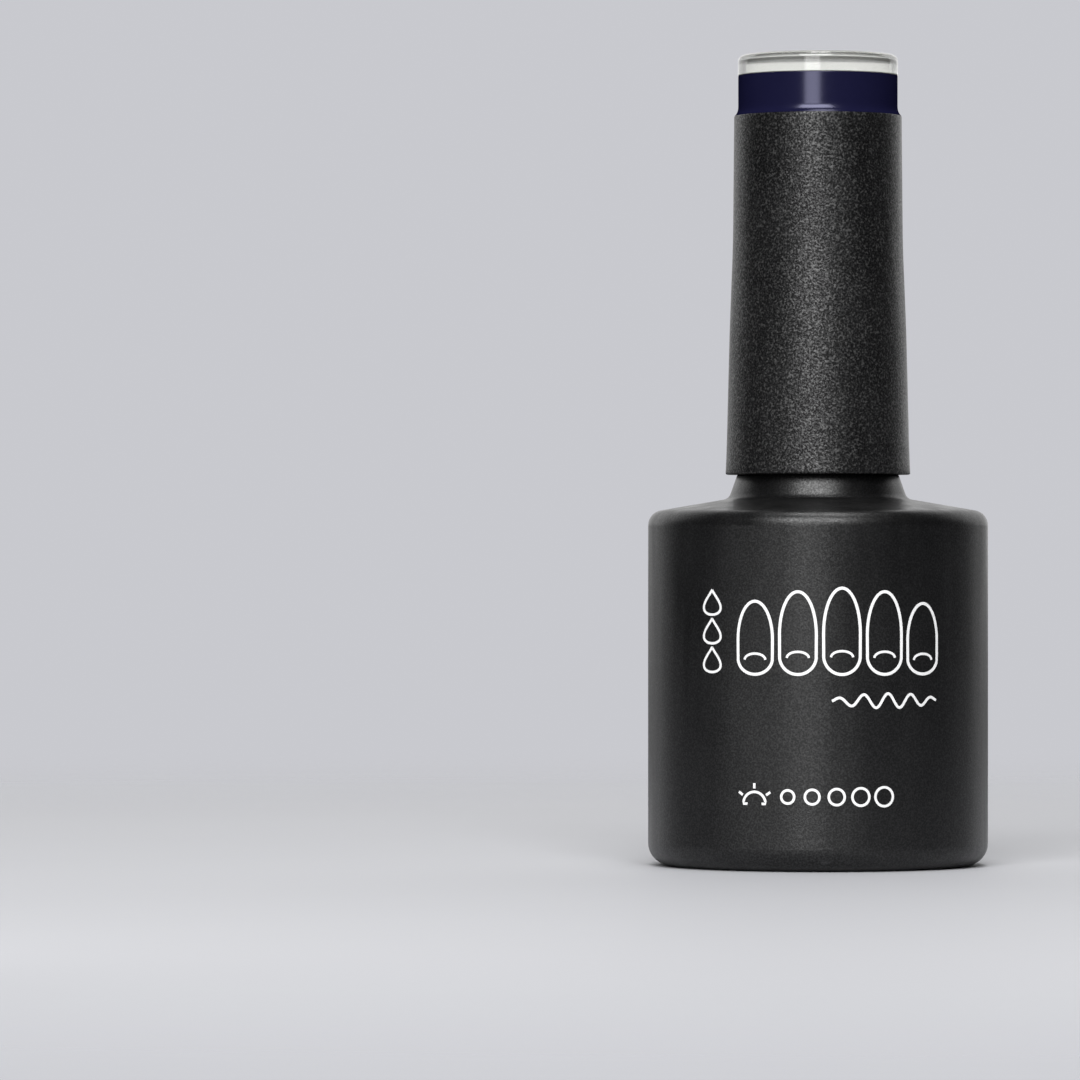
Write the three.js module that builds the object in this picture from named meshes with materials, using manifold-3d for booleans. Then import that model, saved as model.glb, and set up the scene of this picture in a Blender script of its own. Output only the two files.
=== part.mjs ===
// An 8 ml gel nail polish bottle. Millimetres, +Z up, standing on the origin, front towards -Y.
//
// A thick glass bottle holds the polish and a soft wiper in its neck. A tall tapered cap screws
// on the neck and carries the brush. The cap is a threaded inner cap, a sealing washer, an outer
// sleeve, a coloured shade plug and a clear window on top.

import * as THREE from 'three';
import { mergeVertices } from 'three/addons/utils/BufferGeometryUtils.js';
import Module from 'manifold-3d';

const wasm = await Module();
wasm.setup();

// ---------------------------------------------------------------- driving dimensions

// Glass bottle, outside.
const bodyRadius = 14.5;
const sideTop = 28.94; // the straight side ends here and the shoulder edge begins
const heelRadius = 1.95;
const shoulderEdgeRadius = 1.3;
const shoulderSlope = THREE.MathUtils.degToRad(9.7);
const collarFlare = 0.85; // how much wider the collar is at its foot than at its top
const collarHeight = 2.4;
const collarClearance = 0.37; // between the collar's top edge and the sleeve around it
const neckHeight = 9.9; // from the collar's top to the sealing face
const neckLipRadius = 0.4;

// Glass bottle, inside and below.
const bodyWall = 2.6;
const shoulderWall = 2.6;
const baseThickness = 4.0;
const cavityFillet = 2.5;
const cavityShoulderFillet = 1.6;
const throatFillet = 1.4; // where the shoulder runs into the bore
const neckWall = 1.5;
const bearingRingWidth = 1.9;
const pushUpDepth = 0.9;
const pushUpBevel = 0.8;

// Neck thread, a coarse single-start closure thread of 12 turns to the inch.
const threadRadius = 6.2;
const threadDepth = 0.6;
const threadLead = 25.4 / 12;
const threadTurns = 1.5;
const threadRootHalf = 0.55; // half the ridge's width along Z, at its foot
const threadCrestHalf = 0.25;
const threadTopDrop = 1.6; // from the sealing face down to the end of the ridge
const threadClearance = 0.1; // radial, crest to root
const threadPlay = 0.15; // along Z, flank to flank
const threadRunOut = 0.12; // part of a turn over which an end fades away
const beadHeight = 1.6; // the transfer bead's middle, above the collar's top
const beadHalf = 0.5;
const beadDepth = 0.4;

// Wiper.
const wiperFlange = 0.8;
const wiperFlangeLap = 0.9; // how far the flange reaches over the sealing face
const wiperDepth = 5.5;
const wiperWall = 0.7;
const wiperFunnel = 1.2;

// Cap, from the thread outwards.
const skirtWall = 0.72; // at the foot
const sleeveWall = 0.75;
const sleeveFit = 0.1; // between the inner cap and the sleeve
const sleeveHeight = 30.58;
const sleeveLap = 0.35; // how far the sleeve's foot comes down over the collar
const footFlare = 0.09;
const footFlareHeight = 2.1;
const gripInset = 0.34;
const gripHeight = 12.3;
const waistInset = 0.63;
const waistHeight = 19.5;
const topInset = 0.73;
const ledgeGap = 0.3; // between the inner cap's foot and the collar
const roofThickness = 1.2;
const washerThickness = 1.0;
const washerGap = 0.2; // radial, inside the inner cap and around the stem

// Inner cap's post, which steadies the sleeve and holds the brush.
const postWall = 1.6;
const postTopGap = 0.8; // below the shade plug
const postTopBore = 2.2;
const postFloor = 1.4; // between the brush socket and the bore above it
const finCount = 6;
const finThickness = 0.9;

// Shade plug and window.
const plugDepth = 5.0;
const plugWall = 0.9;
const plugFlangeInset = 0.04;
const bandInset = 0.35; // the visible band is this much slimmer than the sleeve's top
const bandHeight = 3.42;
const bandFootHeight = 1.0;
const recessDepth = 1.0;
const recessRim = 1.2;
const plugRoof = 1.5;
const windowHeight = 1.77;
const windowOverhang = 0.02;
const windowEdgeRadius = 0.5;

// Brush.
const stemRadius = 1.6;
const stemHeadLength = 6.0;
const stemHeadStep = 0.35; // the head in the socket is this much thicker than the stem
const ferruleStep = 0.3;
const ferruleLength = 4.5;
const ferruleWall = 0.4;
const tuftLength = 11.0;
const tuftRoot = 2.6; // length held inside the ferrule
const tuftTipRadius = 0.9;
const tipClearance = 1.5; // between the bristle tips and the glass floor
const orificeClearance = 0.25;
const anchorHeight = 0.9;
const anchorThickness = 0.45;

// Polish.
const headspace = 4.8; // from the cavity's shoulder down to the polish
const polishBoreClearance = 0.25; // around and under the brush

const fit = 0.05; // gap at each pressed or glued joint
const roundSegments = 60;
const capSegments = 48;
const threadSteps = 48; // for each turn

// ---------------------------------------------------------------- sizes that follow

const skirtInner = threadRadius + threadClearance;
const sleeveFootRadius = skirtInner + skirtWall + sleeveFit + sleeveWall;
const sleeveTopRadius = sleeveFootRadius - topInset;
const collarTopRadius = sleeveFootRadius - sleeveWall - collarClearance;
const collarFootRadius = collarTopRadius + collarFlare;
const neckRootRadius = threadRadius - threadDepth;
const boreRadius = neckRootRadius - neckWall;
const cavityRadius = bodyRadius - bodyWall;

const shoulderAngle = Math.PI / 2 - shoulderSlope;
const edgeEndRadius = bodyRadius - shoulderEdgeRadius * (1 - Math.cos(shoulderAngle));
const edgeEndHeight = sideTop + shoulderEdgeRadius * Math.sin(shoulderAngle);

/** Height of the outer shoulder cone at a radius. */
function shoulderAt(radius) {
  return edgeEndHeight + (edgeEndRadius - radius) * Math.tan(shoulderSlope);
}

/** Height of the cavity's roof cone at a radius. */
function cavityRoofAt(radius) {
  return shoulderAt(radius) - shoulderWall / Math.cos(shoulderSlope);
}

const collarFootHeight = shoulderAt(collarFootRadius);
const collarTop = collarFootHeight + collarHeight;
const neckTop = collarTop + neckHeight;
const wiperTop = neckTop + wiperFlange;
const washerTop = wiperTop + washerThickness;
const roofTop = washerTop + roofThickness;

const sleeveFoot = collarTop - sleeveLap;
const sleeveTop = sleeveFoot + sleeveHeight;
const bandTop = sleeveTop + bandHeight;
const bandRadius = sleeveTopRadius - bandInset;

const stemHeadRadius = stemRadius + stemHeadStep;
const ferruleRadius = stemRadius + ferruleStep;
const tuftRadius = ferruleRadius;
const brushReach = Math.max(stemRadius, ferruleRadius, tuftRadius);
const orificeRadius = brushReach + orificeClearance;
const tuftTip = baseThickness + tipClearance;
const ferruleFoot = tuftTip + tuftLength;
const ferruleBore = ferruleRadius - ferruleWall;

const polishTop = cavityRoofAt(cavityRadius) - headspace;

/** Outer radius of the sleeve at a height above its foot. */
function sleeveRadius(height) {
  const stations = [
    [0, 0],
    [footFlareHeight, footFlare],
    [gripHeight, gripInset],
    [waistHeight, waistInset],
    [sleeveHeight, topInset],
  ];
  const upper = stations.findIndex(([top]) => height <= top + 1e-6);
  const [h1, inset1] = stations[Math.max(upper, 1)];
  const [h0, inset0] = stations[Math.max(upper, 1) - 1];
  return sleeveFootRadius - THREE.MathUtils.mapLinear(height, h0, h1, inset0, inset1);
}

/** Inner radius of the sleeve at a height in the assembly. */
function sleeveBoreAt(z) {
  return sleeveRadius(z - sleeveFoot) - sleeveWall;
}

// ---------------------------------------------------------------- making solids

/** The points of an outline of (radius, height), drawn with lines and arcs. */
function outline(draw, arcSteps = 3) {
  const path = new THREE.Path();
  draw(path);
  const apart = 1e-4;
  return path.getPoints(arcSteps).filter((p, i, all) => i === 0 || p.distanceTo(all[i - 1]) > apart);
}

/** A solid turned about +Z. Its outline runs up the outside, from axis to axis or round a ring. */
function turned(points, segments = capSegments) {
  return new THREE.LatheGeometry(points, segments).rotateX(Math.PI / 2);
}

/** A box of an outline's corners turned about +Z, which makes a plain ring or disc. */
function ring(inner, outer, bottom, top, segments = capSegments) {
  const corners = [
    new THREE.Vector2(inner, bottom),
    new THREE.Vector2(outer, bottom),
    new THREE.Vector2(outer, top),
    new THREE.Vector2(inner, top),
  ];
  if (inner > 0) corners.push(corners[0].clone());
  return turned(corners, segments);
}

/**
 * A helical ridge about +Z with a flat-sided section. Its foot is sunk into the wall it joins and
 * each end fades into that wall.
 */
function helicalRidge({ wallRadius, crestRadius, startTurn, startHeight }) {
  const sink = 0.2 * Math.sign(wallRadius - crestRadius);
  const steps = Math.round(threadTurns * threadSteps);
  const positions = [];
  for (let i = 0; i <= steps; i += 1) {
    const turn = (threadTurns * i) / steps;
    const fade = Math.min(1, turn / threadRunOut, (threadTurns - turn) / threadRunOut);
    const crest = THREE.MathUtils.lerp(wallRadius, crestRadius, fade);
    const sides = [
      [wallRadius + sink, threadRootHalf],
      [crest, threadCrestHalf],
    ].sort((a, b) => a[0] - b[0]);
    const section = [
      [sides[0][0], -sides[0][1]],
      [sides[1][0], -sides[1][1]],
      [sides[1][0], sides[1][1]],
      [sides[0][0], sides[0][1]],
    ];
    const angle = 2 * Math.PI * (startTurn + turn);
    const height = startHeight + threadLead * turn;
    for (const [radius, offset] of section) {
      positions.push(radius * Math.cos(angle), radius * Math.sin(angle), height + offset);
    }
  }
  const index = [0, 1, 2, 0, 2, 3];
  for (let i = 0; i < steps; i += 1) {
    for (let k = 0; k < 4; k += 1) {
      const a = 4 * i + k;
      const b = 4 * i + ((k + 1) % 4);
      index.push(a, a + 4, b + 4, a, b + 4, b);
    }
  }
  const end = 4 * steps;
  index.push(end, end + 2, end + 1, end, end + 3, end + 2);
  const geometry = new THREE.BufferGeometry();
  geometry.setAttribute('position', new THREE.Float32BufferAttribute(positions, 3));
  geometry.setIndex(index);
  return geometry;
}

/** The solid that a closed geometry bounds. */
function toSolid(geometry) {
  const bare = geometry.clone();
  bare.deleteAttribute('normal');
  bare.deleteAttribute('uv');
  const merged = mergeVertices(bare, 1e-4);
  const faces = [];
  for (let i = 0; i < merged.index.count; i += 3) {
    const [a, b, c] = merged.index.array.slice(i, i + 3);
    if (a !== b && b !== c && c !== a) faces.push(a, b, c);
  }
  const mesh = new wasm.Mesh({
    numProp: 3,
    vertProperties: new Float32Array(merged.attributes.position.array),
    triVerts: new Uint32Array(faces),
  });
  return new wasm.Manifold(mesh);
}

/** The geometry of a solid's surface. */
function toGeometry(solid) {
  const { vertProperties, triVerts } = solid.getMesh();
  const geometry = new THREE.BufferGeometry();
  geometry.setAttribute('position', new THREE.BufferAttribute(vertProperties, 3));
  geometry.setIndex(new THREE.BufferAttribute(triVerts, 1));
  geometry.computeVertexNormals();
  return geometry;
}

/** A named part with its own finish. */
function part(name, geometry, color, roughness, metalness = 0, extra = {}) {
  const material = new THREE.MeshStandardMaterial({ color, roughness, metalness, ...extra });
  const mesh = new THREE.Mesh(geometry, material);
  mesh.name = name;
  return mesh;
}

// ---------------------------------------------------------------- bottle

/** Height at which the neck's ridge begins, at the middle of its section. */
const threadStart = neckTop - threadTopDrop - threadLead * threadTurns;

/** The glass: heel, side, shoulder, collar and neck outside, cavity and bore inside. */
function glassBlank() {
  const ringOuter = bodyRadius - heelRadius;
  const ringInner = ringOuter - bearingRingWidth;
  const bead = collarTop + beadHeight;
  const beadRadius = neckRootRadius + beadDepth;
  const throat = boreRadius + throatFillet;
  const roofStart = cavityRadius - cavityShoulderFillet;
  const roofEdge = cavityRoofAt(cavityRadius) - cavityShoulderFillet;
  return outline((path) => {
    path.moveTo(0, pushUpDepth);
    path.lineTo(ringInner - pushUpBevel, pushUpDepth);
    path.lineTo(ringInner, 0);
    path.lineTo(ringOuter, 0);
    path.absarc(ringOuter, heelRadius, heelRadius, -Math.PI / 2, 0, false);
    path.absarc(bodyRadius - shoulderEdgeRadius, sideTop, shoulderEdgeRadius, 0, shoulderAngle, false);
    path.lineTo(collarFootRadius + 0.5, shoulderAt(collarFootRadius + 0.5));
    path.lineTo(collarFootRadius, collarFootHeight + 0.4);
    path.lineTo(collarTopRadius, collarTop);
    path.lineTo(neckRootRadius, collarTop);
    path.lineTo(neckRootRadius, bead - beadHalf - beadDepth);
    path.lineTo(beadRadius, bead - beadHalf);
    path.lineTo(beadRadius, bead + beadHalf);
    path.lineTo(neckRootRadius, bead + beadHalf + beadDepth);
    path.absarc(neckRootRadius - neckLipRadius, neckTop - neckLipRadius, neckLipRadius, 0, Math.PI / 2);
    path.lineTo(boreRadius, neckTop);
    path.lineTo(boreRadius, cavityRoofAt(throat) + throatFillet);
    path.lineTo(throat, cavityRoofAt(throat));
    path.lineTo(roofStart, cavityRoofAt(roofStart));
    path.lineTo(cavityRadius, roofEdge);
    path.absarc(cavityRadius - cavityFillet, baseThickness + cavityFillet, cavityFillet, 0, -Math.PI / 2, true);
    path.lineTo(0, baseThickness);
  });
}

/** The glass bottle with its threaded neck. */
function glassBottle() {
  const ridge = helicalRidge({
    wallRadius: neckRootRadius,
    crestRadius: threadRadius,
    startTurn: 0,
    startHeight: threadStart,
  });
  const solid = toSolid(turned(glassBlank(), roundSegments)).add(toSolid(ridge));
  return part('glass_bottle', toGeometry(solid), 0x17171a, 0.5);
}

/** The soft wiper: a flanged cup with a hole in its floor that strips the brush. */
function neckWiper() {
  const outer = boreRadius - fit;
  const foot = neckTop - wiperDepth;
  const flangeRadius = boreRadius + wiperFlangeLap;
  const points = outline((path) => {
    path.moveTo(orificeRadius, foot);
    path.lineTo(outer - wiperWall, foot);
    path.lineTo(outer, foot + wiperWall);
    path.lineTo(outer, neckTop);
    path.lineTo(flangeRadius, neckTop);
    path.lineTo(flangeRadius, wiperTop);
    path.lineTo(outer - wiperWall, wiperTop);
    path.lineTo(outer - wiperWall, foot + wiperWall + wiperFunnel);
    path.lineTo(orificeRadius, foot + wiperWall);
    path.lineTo(orificeRadius, foot);
  });
  return part('neck_wiper', turned(points), 0xe9e9e4, 0.45);
}

/** The polish, level inside the cavity, with room around the brush. */
function gelPolish() {
  const outer = cavityRadius - fit;
  const floor = baseThickness + fit;
  const bore = brushReach + polishBoreClearance;
  const points = outline((path) => {
    path.moveTo(0, floor);
    path.lineTo(outer - cavityFillet, floor);
    path.absarc(outer - cavityFillet, floor + cavityFillet, cavityFillet, -Math.PI / 2, 0, false);
    path.lineTo(outer, polishTop);
    path.lineTo(bore, polishTop);
    path.lineTo(bore, tuftTip - polishBoreClearance);
    path.lineTo(0, tuftTip - polishBoreClearance);
  });
  return part('gel_polish', turned(points, roundSegments), 0x15153a, 0.15);
}

// ---------------------------------------------------------------- cap

/** The skirt, roof and post of the inner cap, before its thread and fins are joined on. */
function innerCapBlank(postTop) {
  const foot = collarTop + ledgeGap;
  const socketRadius = stemHeadRadius + fit;
  const socketTop = washerTop + stemHeadLength + fit;
  const postRadius = socketRadius + postWall;
  const outerAt = (z) => sleeveBoreAt(z) - sleeveFit;
  return outline((path) => {
    path.moveTo(0, socketTop);
    path.lineTo(socketRadius, socketTop);
    path.lineTo(socketRadius, washerTop);
    path.lineTo(skirtInner, washerTop);
    path.lineTo(skirtInner, foot);
    path.lineTo(outerAt(foot), foot);
    const bend = sleeveFoot + footFlareHeight;
    if (bend > foot && bend < roofTop) path.lineTo(outerAt(bend), bend);
    const grip = sleeveFoot + gripHeight;
    if (grip > foot && grip < roofTop) path.lineTo(outerAt(grip), grip);
    path.lineTo(outerAt(roofTop), roofTop);
    path.lineTo(postRadius, roofTop);
    path.lineTo(postRadius, postTop);
    path.lineTo(postTopBore, postTop);
    path.lineTo(postTopBore, socketTop + postFloor);
    path.lineTo(0, socketTop + postFloor);
  });
}

/** The inner cap: threaded skirt, roof with the brush socket, and a finned post. */
function innerCap() {
  const postTop = sleeveTop - plugDepth - postTopGap;
  const finReach = sleeveBoreAt(postTop) - sleeveFit;
  const finFoot = roofTop - 0.2;
  const finInner = stemHeadRadius + postWall - 0.3;
  let solid = toSolid(turned(innerCapBlank(postTop)));
  for (let i = 0; i < finCount; i += 1) {
    const fin = new THREE.BoxGeometry(finReach - finInner, finThickness, postTop - finFoot);
    fin.translate((finReach + finInner) / 2, 0, (postTop + finFoot) / 2);
    fin.rotateZ((2 * Math.PI * i) / finCount);
    solid = solid.add(toSolid(fin));
  }
  const flankSum = threadRootHalf + threadCrestHalf;
  const ridge = helicalRidge({
    wallRadius: skirtInner,
    crestRadius: skirtInner - threadDepth + threadClearance / 2,
    startTurn: -0.25,
    startHeight: threadStart - 0.25 * threadLead - flankSum - threadPlay,
  });
  solid = solid.add(toSolid(ridge));
  return part('inner_cap', toGeometry(solid), 0x1b1b1d, 0.5);
}

/** The sealing washer that is squeezed between the inner cap's roof and the wiper's flange. */
function sealingWasher() {
  const geometry = ring(stemRadius + washerGap, skirtInner - washerGap, wiperTop, washerTop);
  return part('sealing_washer', geometry, 0xd9d6cc, 0.7);
}

/** The outer sleeve, an open tapered tube. */
function capSleeve() {
  const stations = [0, footFlareHeight, gripHeight, waistHeight, sleeveHeight];
  const outer = stations.map((h) => new THREE.Vector2(sleeveRadius(h), sleeveFoot + h));
  const inner = stations.map((h) => new THREE.Vector2(sleeveRadius(h) - sleeveWall, sleeveFoot + h));
  const points = [...outer, ...inner.reverse(), outer[0].clone()];
  return part('cap_sleeve', turned(points, roundSegments), 0x1a1a1c, 0.75);
}

/** The shade plug: a hollow spigot in the sleeve, a flared foot on its rim and the colour band. */
function shadePlug() {
  const spigot = sleeveTopRadius - sleeveWall - fit;
  const footRadius = sleeveTopRadius - plugFlangeInset;
  const recess = bandRadius - recessRim;
  const bottom = sleeveTop - plugDepth;
  const hollowTop = bandTop - recessDepth - plugRoof;
  const points = outline((path) => {
    path.moveTo(0, hollowTop);
    path.lineTo(spigot - plugWall, hollowTop);
    path.lineTo(spigot - plugWall, bottom);
    path.lineTo(spigot, bottom);
    path.lineTo(spigot, sleeveTop);
    path.lineTo(footRadius, sleeveTop);
    path.quadraticCurveTo(bandRadius, sleeveTop + 0.2, bandRadius, sleeveTop + bandFootHeight);
    path.lineTo(bandRadius, bandTop);
    path.lineTo(recess, bandTop);
    path.lineTo(recess, bandTop - recessDepth);
    path.lineTo(0, bandTop - recessDepth);
  }, 4);
  return part('shade_plug', turned(points, roundSegments), 0x18183a, 0.2);
}

/** The clear window: a thick lens that stands on the band, with a spigot in the recess. */
function topWindow() {
  const radius = bandRadius + windowOverhang;
  const spigot = bandRadius - recessRim - fit;
  const top = bandTop + windowHeight;
  const edge = windowEdgeRadius;
  const points = outline((path) => {
    path.moveTo(0, bandTop - recessDepth + fit);
    path.lineTo(spigot, bandTop - recessDepth + fit);
    path.lineTo(spigot, bandTop);
    path.lineTo(radius, bandTop);
    path.absarc(radius - edge, top - edge, edge, 0, Math.PI / 2, false);
    path.lineTo(0, top);
  });
  const clear = { transparent: true, opacity: 0.45 };
  return part('top_window', turned(points, roundSegments), 0xdfe0e6, 0.08, 0, clear);
}

// ---------------------------------------------------------------- brush

/** The stem: a head in the cap's socket, a rod, and a ferrule bored out for the bristles. */
function brushStem() {
  const ferruleTop = ferruleFoot + ferruleLength;
  const boreTop = ferruleFoot + tuftRoot + anchorHeight + 2 * fit;
  const headTop = washerTop + stemHeadLength;
  const headFoot = washerTop + fit;
  const points = outline((path) => {
    path.moveTo(0, boreTop);
    path.lineTo(ferruleBore, boreTop);
    path.lineTo(ferruleBore, ferruleFoot);
    path.lineTo(ferruleRadius, ferruleFoot);
    path.lineTo(ferruleRadius, ferruleTop);
    path.lineTo(stemRadius, ferruleTop + ferruleStep);
    path.lineTo(stemRadius, headFoot);
    path.lineTo(stemHeadRadius, headFoot);
    path.lineTo(stemHeadRadius, headTop - stemHeadStep);
    path.lineTo(stemRadius, headTop);
    path.lineTo(0, headTop);
  });
  return part('brush_stem', turned(points, 24), 0x1c1c1e, 0.4);
}

/** The tuft: its root in the ferrule, a slight belly and a rounded tip. */
function bristleTuft() {
  const root = ferruleBore - fit;
  const belly = ferruleFoot - tuftLength * 0.45;
  const points = outline((path) => {
    path.moveTo(0, tuftTip);
    path.lineTo(tuftTipRadius, tuftTip + 0.25);
    path.lineTo(tuftRadius * 0.92, tuftTip + 2.2);
    path.lineTo(tuftRadius, belly);
    path.lineTo(root, ferruleFoot - fit);
    path.lineTo(root, ferruleFoot + tuftRoot);
    path.lineTo(0, ferruleFoot + tuftRoot);
  });
  return part('bristle_tuft', turned(points, 24), 0x2a2a2e, 0.5);
}

/** The metal anchor that pins the folded bristles at the end of the ferrule's bore. */
function bristleAnchor() {
  const halfThickness = anchorThickness / 2;
  const width = 2 * Math.sqrt((ferruleBore - 2 * fit) ** 2 - halfThickness ** 2);
  const geometry = new THREE.BoxGeometry(width, anchorThickness, anchorHeight);
  geometry.translate(0, 0, ferruleFoot + tuftRoot + fit + anchorHeight / 2);
  return part('bristle_anchor', geometry, 0xb9b2a0, 0.35, 0.9);
}

// ---------------------------------------------------------------- assembly

const bottle = new THREE.Group();
bottle.add(glassBottle(), neckWiper(), gelPolish());

const brush = new THREE.Group();
brush.add(brushStem(), bristleTuft(), bristleAnchor());

const cap = new THREE.Group();
cap.add(innerCap(), capSleeve(), shadePlug(), topWindow(), brush);

const assembly = new THREE.Group();
assembly.add(bottle, sealingWasher(), cap);

export default assembly;
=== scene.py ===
"""Studio scene of an 8 ml gel nail polish bottle with a screw cap and a brush.

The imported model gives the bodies, the nodes and their places. Each sub-assembly is a class that
builds smooth, dressed pieces in those places. Lengths are millimetres in the classes and metres
in the meshes.
"""

import logging
import math
from dataclasses import dataclass
from enum import Enum
from functools import cache
from typing import Any, Iterable, Sequence

import bmesh
import bpy
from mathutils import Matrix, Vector


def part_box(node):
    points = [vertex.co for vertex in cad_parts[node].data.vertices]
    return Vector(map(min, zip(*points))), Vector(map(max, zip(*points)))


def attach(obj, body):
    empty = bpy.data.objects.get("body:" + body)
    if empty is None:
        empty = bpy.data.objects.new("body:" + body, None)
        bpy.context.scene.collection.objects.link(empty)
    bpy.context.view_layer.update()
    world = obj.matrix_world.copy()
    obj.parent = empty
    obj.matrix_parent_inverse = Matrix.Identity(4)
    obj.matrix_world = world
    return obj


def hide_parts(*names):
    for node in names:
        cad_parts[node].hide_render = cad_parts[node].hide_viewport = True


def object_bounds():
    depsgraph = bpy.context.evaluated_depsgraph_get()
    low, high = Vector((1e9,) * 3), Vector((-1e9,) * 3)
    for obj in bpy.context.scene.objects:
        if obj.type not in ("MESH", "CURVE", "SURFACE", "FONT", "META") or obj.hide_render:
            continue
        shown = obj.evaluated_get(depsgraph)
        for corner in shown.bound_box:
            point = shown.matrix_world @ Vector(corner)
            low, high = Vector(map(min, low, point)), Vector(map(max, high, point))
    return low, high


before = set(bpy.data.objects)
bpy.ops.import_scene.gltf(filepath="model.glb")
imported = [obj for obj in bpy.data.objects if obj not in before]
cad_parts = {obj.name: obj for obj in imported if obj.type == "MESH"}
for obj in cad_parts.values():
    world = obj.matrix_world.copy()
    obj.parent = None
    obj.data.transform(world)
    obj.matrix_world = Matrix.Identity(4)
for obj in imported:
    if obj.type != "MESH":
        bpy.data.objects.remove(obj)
CAD_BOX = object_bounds()

LOG = logging.getLogger("polish_bottle")
MM = 0.001
AXIS_TOLERANCE = 1e-6
LEAST_ROUGHNESS = 0.01
CLOUD_SPAN = (0.35, 0.65)  # where the mottle's cloud runs from one colour to the other
WIPE_SPAN = (0.3, 0.7)
GLINT_SPAN = (0.6, 0.92)  # from the grain height that reflects least to the one that reflects most
RIM_SPAN = (0.06, 0.4)  # from full to no reflection, as a calm rim turns away

Point = tuple[float, float]
Corner = tuple[float, float, float]
Colour = tuple[float, float, float]


class Body(Enum):
    """The rigid bodies that pieces ride on."""

    BOTTLE = "bottle"
    WASHER = "washer"
    CAP = "cap"


class Slot(Enum):
    """The record's material slots."""

    COATED_GLASS = "coated_glass"
    WIPER = "wiper_plastic"
    POLISH = "polish"
    WASHER = "washer_foam"
    INNER = "inner_plastic"
    SLEEVE = "soft_touch_sleeve"
    SHADE = "shade_plastic"
    WINDOW = "clear_window"
    STEM = "stem_plastic"
    BRISTLE = "bristle"
    ANCHOR = "anchor_metal"
    INK = "print_ink"


# ---------------------------------------------------------------- node trees


class NodeSheet:
    """Adds nodes to one tree in reading order and links them as they are added."""

    def __init__(self, tree: bpy.types.NodeTree) -> None:
        """Starts on a tree.

        Args:
            tree: The shader, world or geometry tree to fill.
        """
        self.tree = tree
        self.column = 0

    def add(self, kind: str, feeds: dict[str | int, Any] | None = None, **settings: Any) -> bpy.types.Node:
        """Adds one node.

        Args:
            kind: The node's type name.
            feeds: Input name or number to a value, or to an output socket to link.
            settings: Properties of the node itself, set before its inputs.

        Returns:
            The new node.
        """
        node = self.tree.nodes.new(kind)
        for key, value in settings.items():
            setattr(node, key, value)
        for key, value in (feeds or {}).items():
            socket = node.inputs[key]
            if isinstance(value, bpy.types.NodeSocket):
                self.tree.links.new(value, socket)
            else:
                socket.default_value = value
        node.location = (self.column * 190, -60 * (self.column % 5))
        self.column += 1
        return node

    def math(self, operation: str, *values: Any) -> bpy.types.NodeSocket:
        """Adds a Math node and returns its result."""
        return self.add("ShaderNodeMath", dict(enumerate(values)), operation=operation).outputs[0]

    def remap(
        self, value: Any, low: float, high: float, out_low: float = 0.0, out_high: float = 1.0
    ) -> bpy.types.NodeSocket:
        """Adds a clamped Map Range node and returns its result."""
        feeds = {"Value": value, 1: low, 2: high, 3: out_low, 4: out_high}
        return self.add("ShaderNodeMapRange", feeds).outputs["Result"]

    def blend_colour(self, factor: Any, first: Any, second: Any) -> bpy.types.NodeSocket:
        """Adds a colour Mix node.

        Args:
            factor: Share of the second colour.
            first: Linear colour, or an output socket.
            second: Linear colour, or an output socket.

        Returns:
            The mixed colour.
        """
        ends = [end if isinstance(end, bpy.types.NodeSocket) else (*end, 1.0) for end in (first, second)]
        feeds = {0: factor, 6: ends[0], 7: ends[1]}
        return self.add("ShaderNodeMix", feeds, data_type="RGBA").outputs[2]


def new_group(name: str, kind: str, inputs: dict[str, tuple[str, Any]], outputs: dict[str, str]) -> tuple:
    """Makes an empty node group with named sockets.

    Args:
        name: The group's name.
        kind: ShaderNodeTree or GeometryNodeTree.
        inputs: Socket name to (socket type, default value or None).
        outputs: Socket name to socket type.

    Returns:
        The tree, its sheet, its group input node and its group output node.
    """
    tree = bpy.data.node_groups.new(name, kind)
    for label, (socket_type, default) in inputs.items():
        socket = tree.interface.new_socket(label, in_out="INPUT", socket_type=socket_type)
        if default is not None:
            socket.default_value = default
    for label, socket_type in outputs.items():
        tree.interface.new_socket(label, in_out="OUTPUT", socket_type=socket_type)
    sheet = NodeSheet(tree)
    entry = sheet.add("NodeGroupInput")
    leave = tree.nodes.new("NodeGroupOutput")
    return tree, sheet, entry, leave


def build_grain_group() -> bpy.types.NodeTree:
    """Builds the moulded or sprayed grain: a height and a mask of the highest grains.

    Returns:
        A shader group with inputs Vector, Grain Size (mm) and the share of marked grains, and
        outputs Height and the mask of the highest grains. The mask marks real specks on the foam
        washer and painted glints on the soft-touch sleeve.
    """
    inputs = {
        "Vector": ("NodeSocketVector", None),
        "Grain Size": ("NodeSocketFloat", 0.2),
        "Speck Share": ("NodeSocketFloat", 0.2),
    }
    outputs = {"Height": "NodeSocketFloat", "Speck And Glint": "NodeSocketFloat"}
    tree, sheet, entry, leave = new_group("surface_grain", "ShaderNodeTree", inputs, outputs)
    scale = sheet.math("DIVIDE", 1 / MM, entry.outputs["Grain Size"])
    feeds = {"Vector": entry.outputs["Vector"], "Scale": scale, "Detail": 2.0, "Roughness": 0.6}
    noise = sheet.add("ShaderNodeTexNoise", feeds)
    cells = sheet.add(
        "ShaderNodeTexVoronoi",
        {"Vector": entry.outputs["Vector"], "Scale": sheet.math("MULTIPLY", scale, 0.8)},
        feature="SMOOTH_F1",
    )
    pits = sheet.math("MULTIPLY", cells.outputs["Distance"], 0.5)
    height = sheet.math("ADD", noise.outputs["Fac"], pits)
    edge = sheet.math("SUBTRACT", 1.15, sheet.math("MULTIPLY", entry.outputs["Speck Share"], 0.6))
    # Mask of the highest grains: real specks on the foam washer, painted glints on the soft-touch sleeve.
    speck_and_glint = sheet.math("GREATER_THAN", height, edge)
    tree.links.new(height, leave.inputs["Height"])
    tree.links.new(speck_and_glint, leave.inputs["Speck And Glint"])
    return tree


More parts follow.
